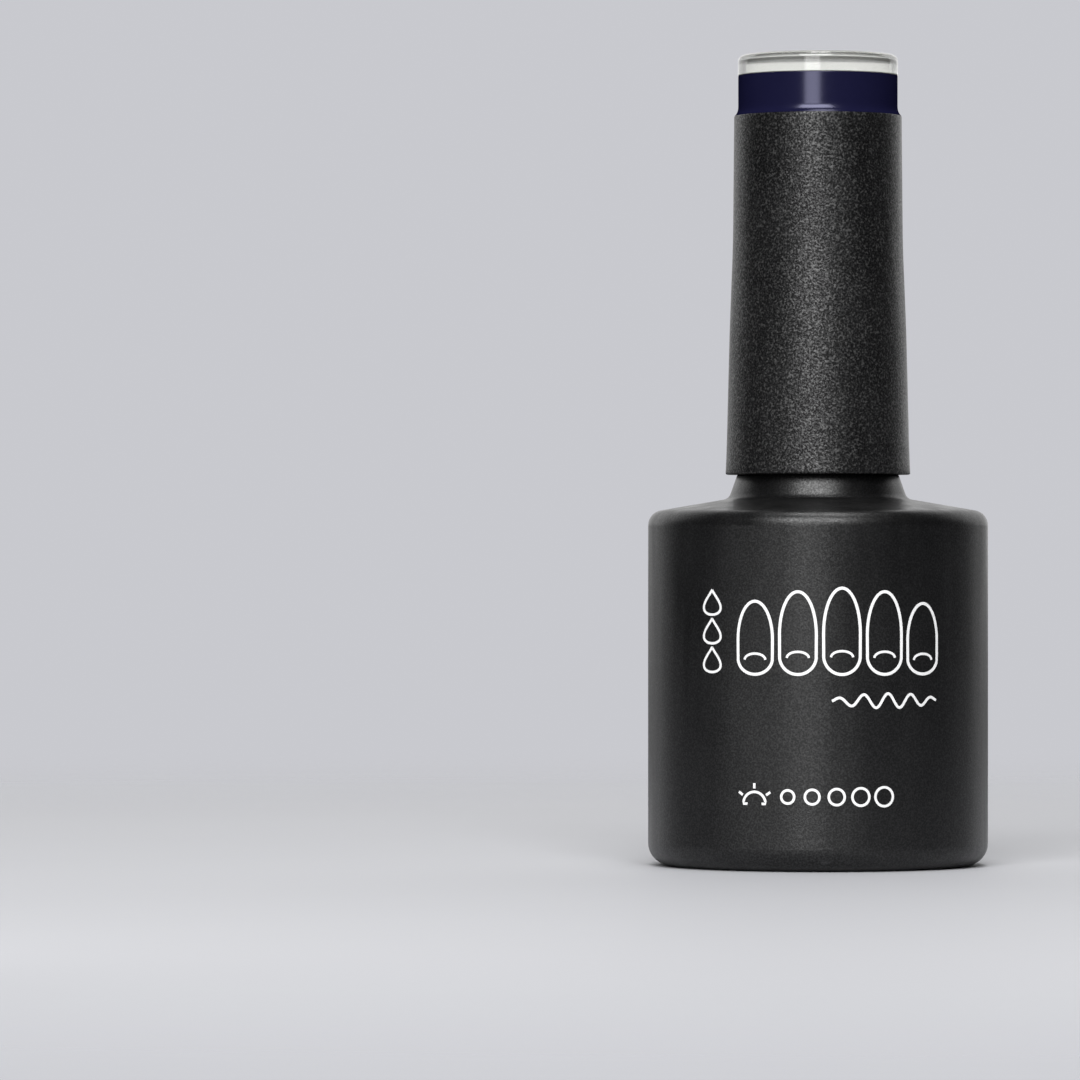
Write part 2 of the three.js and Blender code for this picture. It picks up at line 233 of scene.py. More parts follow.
def build_mottle_group() -> bpy.types.NodeTree:
    """Builds slow, cloudy variation and faint upright wipe marks.

    Returns:
        A shader group with inputs Vector and Patch Size (mm), and outputs Cloud and Wipe.
    """
    inputs = {"Vector": ("NodeSocketVector", None), "Patch Size": ("NodeSocketFloat", 6.0)}
    outputs = {"Cloud": "NodeSocketFloat", "Wipe": "NodeSocketFloat"}
    tree, sheet, entry, leave = new_group("surface_mottle", "ShaderNodeTree", inputs, outputs)
    scale = sheet.math("DIVIDE", 1 / MM, entry.outputs["Patch Size"])
    feeds = {"Vector": entry.outputs["Vector"], "Scale": scale, "Detail": 5.0, "Roughness": 0.62}
    cloud = sheet.add("ShaderNodeTexNoise", feeds)
    flat = sheet.add("ShaderNodeMapping", {"Vector": entry.outputs["Vector"], "Scale": (1.0, 1.0, 0.12)})
    feeds = {"Vector": flat.outputs["Vector"], "Scale": sheet.math("MULTIPLY", scale, 2.5), "Detail": 3.0}
    wipe = sheet.add("ShaderNodeTexNoise", feeds)
    tree.links.new(cloud.outputs["Fac"], leave.inputs["Cloud"])
    tree.links.new(wipe.outputs["Fac"], leave.inputs["Wipe"])
    return tree


def build_edge_group() -> bpy.types.NodeTree:
    """Builds the rub that shows on sharp outer edges.

    Returns:
        A shader group with inputs Vector, Start and End (of pointiness), and output Rub.
    """
    inputs = {
        "Vector": ("NodeSocketVector", None),
        "Start": ("NodeSocketFloat", 0.53),
        "End": ("NodeSocketFloat", 0.62),
    }
    tree, sheet, entry, leave = new_group("edge_rub", "ShaderNodeTree", inputs, {"Rub": "NodeSocketFloat"})
    shape = sheet.add("ShaderNodeNewGeometry")
    feeds = {
        "Value": shape.outputs["Pointiness"],
        1: entry.outputs["Start"],
        2: entry.outputs["End"],
    }
    sharp = sheet.add("ShaderNodeMapRange", feeds)
    feeds = {"Vector": entry.outputs["Vector"], "Scale": 1 / (1.1 * MM), "Detail": 4.0}
    broken = sheet.add("ShaderNodeTexNoise", feeds)
    patches = sheet.remap(broken.outputs["Fac"], 0.42, 0.6)
    rub = sheet.math("MULTIPLY", sharp.outputs["Result"], patches)
    tree.links.new(rub, leave.inputs["Rub"])
    return tree


# ---------------------------------------------------------------- finishes


@dataclass(frozen=True)
class Finish:
    """A surface finish, built as a Principled material with grain, mottle and edge rub.

    Attributes:
        name: The material's name.
        colour: Linear base colour.
        roughness: Mean roughness.
        tint: Linear colour that the mottle drifts towards.
        roughness_drift: How far the mottle moves the roughness each way.
        grain_size: Width of one grain in mm.
        grain_depth: Depth of the grain in mm, or 0 for a polished surface.
        speck_and_glint: Linear colour of the highest grains, or None: real specks on the foam
            washer, a painted glint on the soft-touch sleeve.
        speck_and_glint_share: How many grains get that colour, from 0 to 1.
        rub: Linear colour of rubbed edges, or None.
        patch_size: Width of a mottle patch in mm.
        coat: Weight of a clear coat.
        coat_roughness: Roughness of that coat.
        metallic: 1 for metal.
        transmission: 1 for clear material.
        ior: Index of refraction.
        specular: Principled specular level.
        glint: How many times more the highest grains reflect than the lowest, or 1.
        calm_rim: True to fade reflections out where the surface turns away.
        reflection_tint: Linear colour of what the surface reflects head-on.
    """

    name: str
    colour: Colour
    roughness: float
    tint: Colour | None = None
    roughness_drift: float = 0.04
    grain_size: float = 0.2
    grain_depth: float = 0.0
    speck_and_glint: Colour | None = None
    speck_and_glint_share: float = 0.2
    rub: Colour | None = None
    patch_size: float = 6.0
    coat: float = 0.0
    coat_roughness: float = 0.05
    metallic: float = 0.0
    transmission: float = 0.0
    ior: float = 1.5
    specular: float = 0.5
    glint: float = 1.0
    calm_rim: bool = False
    reflection_tint: Colour = (1.0, 1.0, 1.0)

    def plain_inputs(self) -> dict[str, Any]:
        """Collects the shader inputs that are the same all over the surface.

        Returns:
            Input name to value.
        """
        return {
            "Metallic": self.metallic,
            "Transmission Weight": self.transmission,
            "IOR": self.ior,
            "Specular IOR Level": self.specular,
            "Specular Tint": (*self.reflection_tint, 1.0),
            "Coat Weight": self.coat,
            "Coat Roughness": self.coat_roughness,
        }

    def base_colour(self, sheet: NodeSheet, coords: bpy.types.NodeSocket, cloud: bpy.types.NodeSocket) -> Any:
        """Returns the base colour before specks and rub are laid over it.

        Args:
            sheet: The material's sheet.
            coords: Object coordinates, for finishes that change over the piece.
            cloud: The mottle's value.

        Returns:
            The colour's socket.
        """
        shift = sheet.remap(cloud, *CLOUD_SPAN)
        return sheet.blend_colour(shift, self.colour, self.tint or self.colour)

    def material(self, groups: dict[str, bpy.types.NodeTree]) -> bpy.types.Material:
        """Builds the material.

        Args:
            groups: The shared shader groups, by name.

        Returns:
            The finished material.
        """
        material = bpy.data.materials.new(self.name)
        material.use_nodes = True
        material.node_tree.nodes.clear()
        sheet = NodeSheet(material.node_tree)
        coords = sheet.add("ShaderNodeTexCoord").outputs["Object"]
        feeds = {"Vector": coords, "Patch Size": self.patch_size}
        mottle = sheet.add("ShaderNodeGroup", feeds, node_tree=groups["mottle"])
        colour = self.base_colour(sheet, coords, mottle.outputs["Cloud"])
        shader = self.plain_inputs()
        smooth = max(self.roughness - self.roughness_drift, LEAST_ROUGHNESS)
        rough = min(self.roughness + self.roughness_drift, 1.0)
        shader["Roughness"] = sheet.remap(mottle.outputs["Wipe"], *WIPE_SPAN, smooth, rough)
        if self.grain_depth > 0:
            feeds = {"Vector": coords, "Grain Size": self.grain_size, "Speck Share": self.speck_and_glint_share}
            grain = sheet.add("ShaderNodeGroup", feeds, node_tree=groups["grain"])
            feeds = {"Distance": self.grain_depth * MM, "Height": grain.outputs["Height"]}
            shader["Normal"] = sheet.add("ShaderNodeBump", feeds).outputs["Normal"]
            if self.glint > 1:
                pits = 2 * self.specular / (1 + self.glint)
                level = sheet.remap(grain.outputs["Height"], *GLINT_SPAN, pits, pits * self.glint)
                shader["Specular IOR Level"] = level
            # The highest grains take the speck colour: real specks on the foam washer, a painted glint on the
            # soft-touch sleeve.
            if self.speck_and_glint:
                colour = sheet.blend_colour(grain.outputs["Speck And Glint"], colour, self.speck_and_glint)
        if self.calm_rim:
            facing = sheet.add("ShaderNodeLayerWeight", {"Blend": 0.5}).outputs["Facing"]
            shader["Specular IOR Level"] = sheet.remap(facing, *RIM_SPAN, self.specular, 0.0)
        if self.rub:
            edges = sheet.add("ShaderNodeGroup", {"Vector": coords}, node_tree=groups["edge"])
            colour = sheet.blend_colour(edges.outputs["Rub"], colour, self.rub)
        surface = sheet.add("ShaderNodeBsdfPrincipled", {**shader, "Base Color": colour})
        sheet.add("ShaderNodeOutputMaterial", {"Surface": surface.outputs["BSDF"]})
        return material


@dataclass(frozen=True)
class WettedFinish(Finish):
    """Filaments that are dry near the ferrule and wet with polish towards the tip.

    Attributes:
        wet: Linear colour of the wetted part.
        dry_from: Height in mm above which the filaments are dry.
        wet_below: Height in mm below which they are all wet.
        raggedness: How far in mm the mottle moves the line between wet and dry.
    """

    wet: Colour = (0.006, 0.006, 0.03)
    dry_from: float = 14.0
    wet_below: float = 10.5
    raggedness: float = 3.0

    def base_colour(self, sheet: NodeSheet, coords: bpy.types.NodeSocket, cloud: bpy.types.NodeSocket) -> Any:
        """Returns the dry colour above a ragged line and the wet one below it.

        Args:
            sheet: The material's sheet.
            coords: Object coordinates.
            cloud: The mottle's value.

        Returns:
            The colour's socket.
        """
        split = sheet.add("ShaderNodeSeparateXYZ", {"Vector": coords})
        ragged = sheet.math("MULTIPLY_ADD", cloud, self.raggedness * MM, split.outputs["Z"])
        middle = self.raggedness / 2
        low, high = (self.wet_below + middle) * MM, (self.dry_from + middle) * MM
        return sheet.blend_colour(sheet.remap(ragged, low, high, 1.0, 0.0), self.colour, self.wet)


COATED_BLACK = Finish(
    "coated_black", (0.0026, 0.0026, 0.0028), 0.37, tint=(0.005, 0.005, 0.0052), roughness_drift=0.06,
    grain_size=0.13, grain_depth=0.009, rub=(0.02, 0.02, 0.0205), patch_size=5.0, glint=2.0,
)
BARE_BLACK_GLASS = Finish(
    "bare_black_glass", (0.006, 0.006, 0.007), 0.09, roughness_drift=0.04, ior=1.52, patch_size=3.0,
)
# The soft-touch black's lighter speck colour on its highest grains is a painted glint.
SOFT_TOUCH_BLACK = Finish(
    "soft_touch_black", (0.004, 0.004, 0.0042), 0.4, tint=(0.007, 0.007, 0.0072), roughness_drift=0.05,
    grain_size=0.15, grain_depth=0.028, speck_and_glint=(0.04, 0.04, 0.039), speck_and_glint_share=0.5,
    rub=(0.03, 0.03, 0.03), patch_size=4.0, specular=0.62, glint=7.0,
)
MOULDED_BLACK = Finish(
    "moulded_black", (0.013, 0.013, 0.0135), 0.38, tint=(0.017, 0.017, 0.018), grain_size=0.3,
    grain_depth=0.004, rub=(0.04, 0.04, 0.04), patch_size=3.0,
)
STEM_BLACK = Finish(
    "stem_black", (0.01, 0.01, 0.011), 0.24, tint=(0.013, 0.013, 0.016), roughness_drift=0.08,
    grain_size=0.5, grain_depth=0.003, patch_size=2.5,
)
GLOSS_NAVY = Finish(
    "gloss_navy", (0.0074, 0.0074, 0.0285), 0.21, tint=(0.0084, 0.0084, 0.031), roughness_drift=0.02,
    patch_size=8.0, calm_rim=True, specular=0.6, reflection_tint=(0.72, 0.72, 1.0),
)
WET_NAVY = Finish(
    "wet_navy_gel", (0.007, 0.007, 0.03), 0.05, tint=(0.009, 0.009, 0.036), roughness_drift=0.02,
    coat=1.0, coat_roughness=0.02, patch_size=5.0,
)
CLEAR_ACRYLIC = Finish(
    "clear_acrylic", (0.56, 0.565, 0.53), 0.1, roughness_drift=0.03, transmission=0.8, ior=1.49,
    patch_size=4.0,
)
NATURAL_WIPER = Finish(
    "natural_polyethylene", (0.72, 0.72, 0.69), 0.42, tint=(0.79, 0.79, 0.76), grain_size=0.4,
    grain_depth=0.006, patch_size=2.0,
)
WASHER_FOAM = Finish(
    "washer_foam", (0.66, 0.64, 0.58), 0.75, tint=(0.73, 0.71, 0.65), grain_size=0.16,
    grain_depth=0.03, speck_and_glint=(0.45, 0.43, 0.39), speck_and_glint_share=0.15, patch_size=2.0,
)
NYLON = WettedFinish(
    "nylon_filament", (0.03, 0.028, 0.03), 0.3, coat=0.8, coat_roughness=0.12, patch_size=1.5,
)
CUT_BRASS = Finish(
    "cut_brass", (0.62, 0.5, 0.28), 0.3, tint=(0.5, 0.39, 0.2), roughness_drift=0.1, metallic=1.0,
    grain_size=0.12, grain_depth=0.004, patch_size=0.8,
)
PRINT_WHITE = Finish(
    "print_white", (0.9, 0.9, 0.9), 0.5, tint=(0.84, 0.84, 0.84), grain_size=0.08,
    grain_depth=0.003, patch_size=0.7,
)
STUDIO_FLOOR = Finish(
    "studio_floor", (0.47, 0.474, 0.497), 0.65, tint=(0.48, 0.484, 0.507), grain_size=0.6,
    grain_depth=0.004, patch_size=300.0, specular=0.25,
)


class Wardrobe:
    """Builds each finish once and hands out its material."""

    def __init__(self) -> None:
        """Builds the shared shader groups."""
        self.groups = {
            "grain": build_grain_group(),
            "mottle": build_mottle_group(),
            "edge": build_edge_group(),
        }
        self.made: dict[str, bpy.types.Material] = {}

    def get(self, finish: Finish) -> bpy.types.Material:
        """Returns the material of a finish, built the first time that it is asked for."""
        if finish.name not in self.made:
            self.made[finish.name] = finish.material(self.groups)
        return self.made[finish.name]


# ---------------------------------------------------------------- outlines and meshes


def on_circle(middle: Point, radius: float, angle: float) -> Point:
    """Finds the point of a circle at an angle in radians."""
    return (middle[0] + radius * math.cos(angle), middle[1] + radius * math.sin(angle))


def rounded(corners: Sequence[Corner], closed: bool = False, step: float = 11.0) -> list[Point]:
    """Rounds the corners of an outline.

    Args:
        corners: (radius, height, rounding) of each corner in mm, counter-clockwise.
        closed: True if the last corner joins the first.
        step: Degrees of turn for each step of a rounded corner.

    Returns:
        The points of the outline in mm, with a guard point near each end of a long straight run
        so that its shading stays flat.
    """
    points: list[Point] = []
    count = len(corners)
    for i, (radius, height, rounding) in enumerate(corners):
        here = Vector((radius, height))
        if rounding <= 0 or (not closed and i in (0, count - 1)):
            points.append((radius, height))
            continue
        back = Vector(corners[i - 1][:2]) - here
        ahead = Vector(corners[(i + 1) % count][:2]) - here
        half = back.angle(ahead) / 2
        room = 0.49 * min(back.length, ahead.length)
        reach = min(rounding / math.tan(half), room)
        bend = reach * math.tan(half)
        centre = here + (back.normalized() + ahead.normalized()).normalized() * (bend / math.sin(half))
        start = here + back.normalized() * reach - centre
        end = here + ahead.normalized() * reach - centre
        first = math.atan2(start.y, start.x)
        sweep = (math.atan2(end.y, end.x) - first + math.pi) % (2 * math.pi) - math.pi
        steps = max(2, math.ceil(abs(math.degrees(sweep)) / step))
        for k in range(steps + 1):
            points.append(on_circle(centre, bend, first + sweep * k / steps))
    return guarded(points, closed)


def guarded(
    points: Sequence[Point], closed: bool, guard: float = 0.08, long_run: float = 0.48
) -> list[Point]:
    """Adds a point near each end of every long straight run.

    Args:
        points: The outline in mm.
        closed: True if the last point joins the first.
        guard: Distance of the new points from the run's ends, in mm.
        long_run: Runs longer than this get them, in mm.

    Returns:
        The outline with its guard points.
    """
    out: list[Point] = []
    runs = len(points) if closed else len(points) - 1
    for i in range(runs):
        start, end = Vector(points[i]), Vector(points[(i + 1) % len(points)])
        out.append(tuple(start))
        if (end - start).length > long_run:
            along = (end - start).normalized() * guard
            out.extend([tuple(start + along), tuple(end - along)])
    if not closed:
        out.append(tuple(points[-1]))
    return out


def turned(name: str, outline: Sequence[Point], closed: bool = False, segments: int = 160) -> bpy.types.Mesh:
    """Turns an outline about the vertical axis.

    Args:
        name: The mesh's name.
        outline: (radius, height) points in mm, counter-clockwise. An open outline starts and
            ends on the axis.
        closed: True for a ring, whose outline joins up.
        segments: Number of steps round the axis.

    Returns:
        A closed mesh with smooth faces and sharp edges where the outline turns sharply.
    """
    vertices: list[tuple[float, float, float]] = []
    rings: list[list[int]] = []
    for radius, height in outline:
        first = len(vertices)
        if radius < AXIS_TOLERANCE:
            vertices.append((0.0, 0.0, height * MM))
            rings.append([first])
            continue
        for k in range(segments):
            angle = 2 * math.pi * k / segments
            vertices.append((radius * MM * math.cos(angle), radius * MM * math.sin(angle), height * MM))
        rings.append(list(range(first, first + segments)))
    faces: list[tuple[int, ...]] = []
    joins = len(rings) if closed else len(rings) - 1
    for i in range(joins):
        low, high = rings[i], rings[(i + 1) % len(rings)]
        for k in range(segments):
            n = (k + 1) % segments
            if len(low) == 1 and len(high) == 1:
                continue
            if len(low) == 1:
                faces.append((low[0], high[n], high[k]))
            elif len(high) == 1:
                faces.append((low[k], low[n], high[0]))
            else:
                faces.append((low[k], low[n], high[n], high[k]))
    mesh = bpy.data.meshes.new(name)
    mesh.from_pydata(vertices, [], faces)
    return smoothed(mesh)


def smoothed(mesh: bpy.types.Mesh, sharp: float = 40.0, recalculate: bool = False) -> bpy.types.Mesh:
    """Shades a mesh smooth with sharp creases.

    Args:
        mesh: The mesh to shade.
        sharp: Edges that turn more than this many degrees stay sharp.
        recalculate: True to merge doubles and point the faces outwards first.

    Returns:
        The same mesh.
    """
    if recalculate:
        work = bmesh.new()
        work.from_mesh(mesh)
        bmesh.ops.remove_doubles(work, verts=work.verts, dist=1e-7)
        bmesh.ops.recalc_face_normals(work, faces=work.faces)
        work.to_mesh(mesh)
        work.free()
    mesh.shade_smooth()
    mesh.set_sharp_from_angle(angle=math.radians(sharp))
    mesh.update()
    return mesh


def joined(name: str, meshes: Iterable[bpy.types.Mesh]) -> bpy.types.Mesh:
    """Joins meshes into one, with their separate closed shells kept.

    Args:
        name: The new mesh's name.
        meshes: The meshes to join. They are removed.

    Returns:
        The joined mesh.
    """
    work = bmesh.new()
    for mesh in meshes:
        work.from_mesh(mesh)
        bpy.data.meshes.remove(mesh)
    whole = bpy.data.meshes.new(name)
    work.to_mesh(whole)
    work.free()
    return smoothed(whole)


def grown(name: str, tree: bpy.types.NodeTree, values: dict[str, Any]) -> bpy.types.Mesh:
    """Runs a geometry tree and keeps its result as a plain mesh.

    Args:
        name: The mesh's name.
        tree: The geometry tree.
        values: Input name to value.

    Returns:
        The resulting mesh, merged, outward and shaded.
    """
    seed_mesh = bpy.data.meshes.new(name + "_seed")
    carrier = bpy.data.objects.new(name + "_carrier", seed_mesh)
    bpy.context.scene.collection.objects.link(carrier)
    modifier = carrier.modifiers.new("grow", "NODES")
    modifier.node_group = tree
    sockets = {s.name: s.identifier for s in tree.interface.items_tree if s.in_out == "INPUT"}
    for label, value in values.items():
        modifier[sockets[label]] = value
    bpy.context.view_layer.update()
    evaluated = carrier.evaluated_get(bpy.context.evaluated_depsgraph_get())
    mesh = bpy.data.meshes.new_from_object(evaluated)
    carrier.modifiers.remove(modifier)
    bpy.data.objects.remove(carrier)
    bpy.data.meshes.remove(seed_mesh)
    mesh.name = name
    return smoothed(mesh, recalculate=True)


def placed(
    name: str,
    mesh: bpy.types.Mesh,
    body: Body,
    materials: Sequence[bpy.types.Material],
    stands_for: Sequence[str] = (),
) -> bpy.types.Object:
    """Puts a finished mesh in the scene and ties it to the frame.

    Args:
        name: The piece's name.
        mesh: Its mesh, already in place.
        body: The body that it rides on.
        materials: Its materials, in the order of the mesh's material indices.
        stands_for: CAD nodes that it is shown instead of.

    Returns:
        The new object.
    """
    mesh.materials.clear()
    for material in materials:
        mesh.materials.append(material)
    piece = bpy.data.objects.new(name, mesh)
    bpy.context.scene.collection.objects.link(piece)
    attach(piece, body.value)
    if stands_for:
        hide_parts(*stands_for)
    LOG.info("%s: %d faces, rides on %s", name, len(mesh.polygons), body.value)
    return piece


# ---------------------------------------------------------------- geometry trees


FLOAT = "NodeSocketFloat"
RIDGE_TIP = 0.04  # share of its section that a ridge keeps at its very ends
RIDGE_HEIGHT = 1.1  # height of the section, over the ridge's depth
RIDGE_MIDDLE = 0.45  # how far the section's middle stands off the wall, over the depth


def build_ridge_tree() -> bpy.types.NodeTree:
    """Builds a helical ridge whose ends fade into the wall.

    Returns:
        A geometry tree. Its sizes are metres, Depth is negative for a ridge that points inwards,
        and turns are counted from Start Turn.
    """
    inputs = {
        "Geometry": ("NodeSocketGeometry", None),
        "Wall Radius": (FLOAT, 0.005),
        "Depth": (FLOAT, 0.0006),
        "Foot Width": (FLOAT, 0.001),
        "Crest Width": (FLOAT, 0.0005),
        "Lead": (FLOAT, 0.002),
        "Turns": (FLOAT, 1.5),
        "Start Turn": (FLOAT, 0.0),
        "Start Height": (FLOAT, 0.0),
        "Run Out": (FLOAT, 0.12),
        "Material": ("NodeSocketMaterial", None),
    }
    tree, sheet, entry, leave = new_group(
        "helical_ridge", "GeometryNodeTree", inputs, {"Geometry": "NodeSocketGeometry"}
    )
    given = entry.outputs
    feeds = {
        "Resolution": 96,
        "Rotations": given["Turns"],
        "Start Radius": given["Wall Radius"],
        "End Radius": given["Wall Radius"],
        "Height": sheet.math("MULTIPLY", given["Lead"], given["Turns"]),
    }
    spiral = sheet.add("GeometryNodeCurveSpiral", feeds)
    upright = sheet.add("GeometryNodeSetCurveNormal", {"Curve": spiral.outputs["Curve"]}, mode="Z_UP")
    factor = sheet.add("GeometryNodeSplineParameter").outputs["Factor"]
    nearest = sheet.math("MINIMUM", factor, sheet.math("SUBTRACT", 1.0, factor))
    turns_in = sheet.math("MULTIPLY", nearest, given["Turns"])
    share = sheet.math("DIVIDE", turns_in, given["Run Out"])
    feeds = {"Value": share, 1: 0.0, 2: 1.0, 3: RIDGE_TIP, 4: 1.0}
    fade = sheet.add("ShaderNodeMapRange", feeds, interpolation_type="SMOOTHSTEP")
    tall = sheet.math("ABSOLUTE", given["Depth"])
    feeds = {
        "Height": sheet.math("MULTIPLY", tall, RIDGE_HEIGHT),
        "Bottom Width": given["Foot Width"],
        "Top Width": given["Crest Width"],
        "Offset": 0.0,
    }
    section = sheet.add("GeometryNodeCurvePrimitiveQuadrilateral", feeds, mode="TRAPEZOID")
    side = sheet.math("SIGN", given["Depth"])
    lift = sheet.math("MULTIPLY", tall, RIDGE_MIDDLE)
    shift = sheet.add("ShaderNodeCombineXYZ", {"Y": lift})
    feeds = {"Geometry": section.outputs["Curve"], "Translation": shift.outputs["Vector"]}
    stood = sheet.add("GeometryNodeTransform", feeds)
    quarter = sheet.add("ShaderNodeCombineXYZ", {"Z": sheet.math("MULTIPLY", side, math.pi / 2)})
    feeds = {"Geometry": stood.outputs["Geometry"], "Rotation": quarter.outputs["Vector"]}
    pointed = sheet.add("GeometryNodeTransform", feeds)
    feeds = {
        "Curve": upright.outputs["Curve"],
        "Profile Curve": pointed.outputs["Geometry"],
        "Scale": fade.outputs["Result"],
        "Fill Caps": True,
    }
    ridge = sheet.add("GeometryNodeCurveToMesh", feeds)
    turn = sheet.add("ShaderNodeCombineXYZ", {"Z": sheet.math("MULTIPLY", given["Start Turn"], 2 * math.pi)})
    rise = sheet.add("ShaderNodeCombineXYZ", {"Z": given["Start Height"]})
    feeds = {
        "Geometry": ridge.outputs["Mesh"],
        "Translation": rise.outputs["Vector"],
        "Rotation": turn.outputs["Vector"],
    }
    seated = sheet.add("GeometryNodeTransform", feeds)
    finish_tree(sheet, seated.outputs["Geometry"], given["Material"], leave)
    return tree


def build_fin_tree() -> bpy.types.NodeTree:
    """Builds upright fins set evenly round the axis.

    Returns:
        A geometry tree. Its sizes are metres.
    """
    inputs = {
        "Geometry": ("NodeSocketGeometry", None),
        "Count": ("NodeSocketInt", 6),
        "Inner Radius": (FLOAT, 0.003),
        "Outer Radius": (FLOAT, 0.006),
        "Thickness": (FLOAT, 0.0009),
        "Foot": (FLOAT, 0.046),
        "Top": (FLOAT, 0.058),
        "Material": ("NodeSocketMaterial", None),
    }
    tree, sheet, entry, leave = new_group(
        "fin_ring", "GeometryNodeTree", inputs, {"Geometry": "NodeSocketGeometry"}
    )
    given = entry.outputs
    reach = sheet.math("SUBTRACT", given["Outer Radius"], given["Inner Radius"])
    tall = sheet.math("SUBTRACT", given["Top"], given["Foot"])
    size = sheet.add("ShaderNodeCombineXYZ", {"X": reach, "Y": given["Thickness"], "Z": tall})
    block = sheet.add("GeometryNodeMeshCube", {"Size": size.outputs["Vector"]})
    middle = sheet.math("MULTIPLY", sheet.math("ADD", given["Outer Radius"], given["Inner Radius"]), 0.5)
    height = sheet.math("MULTIPLY", sheet.math("ADD", given["Top"], given["Foot"]), 0.5)
    offset = sheet.add("ShaderNodeCombineXYZ", {"X": middle, "Z": height})
    feeds = {"Geometry": block.outputs["Mesh"], "Translation": offset.outputs["Vector"]}
    fin = sheet.add("GeometryNodeTransform", feeds)
    posts = sheet.add("GeometryNodeMeshLine", {"Count": given["Count"], "Offset": (0.0, 0.0, 0.0)})
    index = sheet.add("GeometryNodeInputIndex").outputs["Index"]
    turn = sheet.math("DIVIDE", sheet.math("MULTIPLY", index, 2 * math.pi), given["Count"])
    aim = sheet.add("ShaderNodeCombineXYZ", {"Z": turn})
    feeds = {
        "Points": posts.outputs["Mesh"],
        "Instance": fin.outputs["Geometry"],
        "Rotation": aim.outputs["Vector"],
    }
    ring = sheet.add("GeometryNodeInstanceOnPoints", feeds)
    finish_tree(sheet, ring.outputs["Instances"], given["Material"], leave)
    return tree


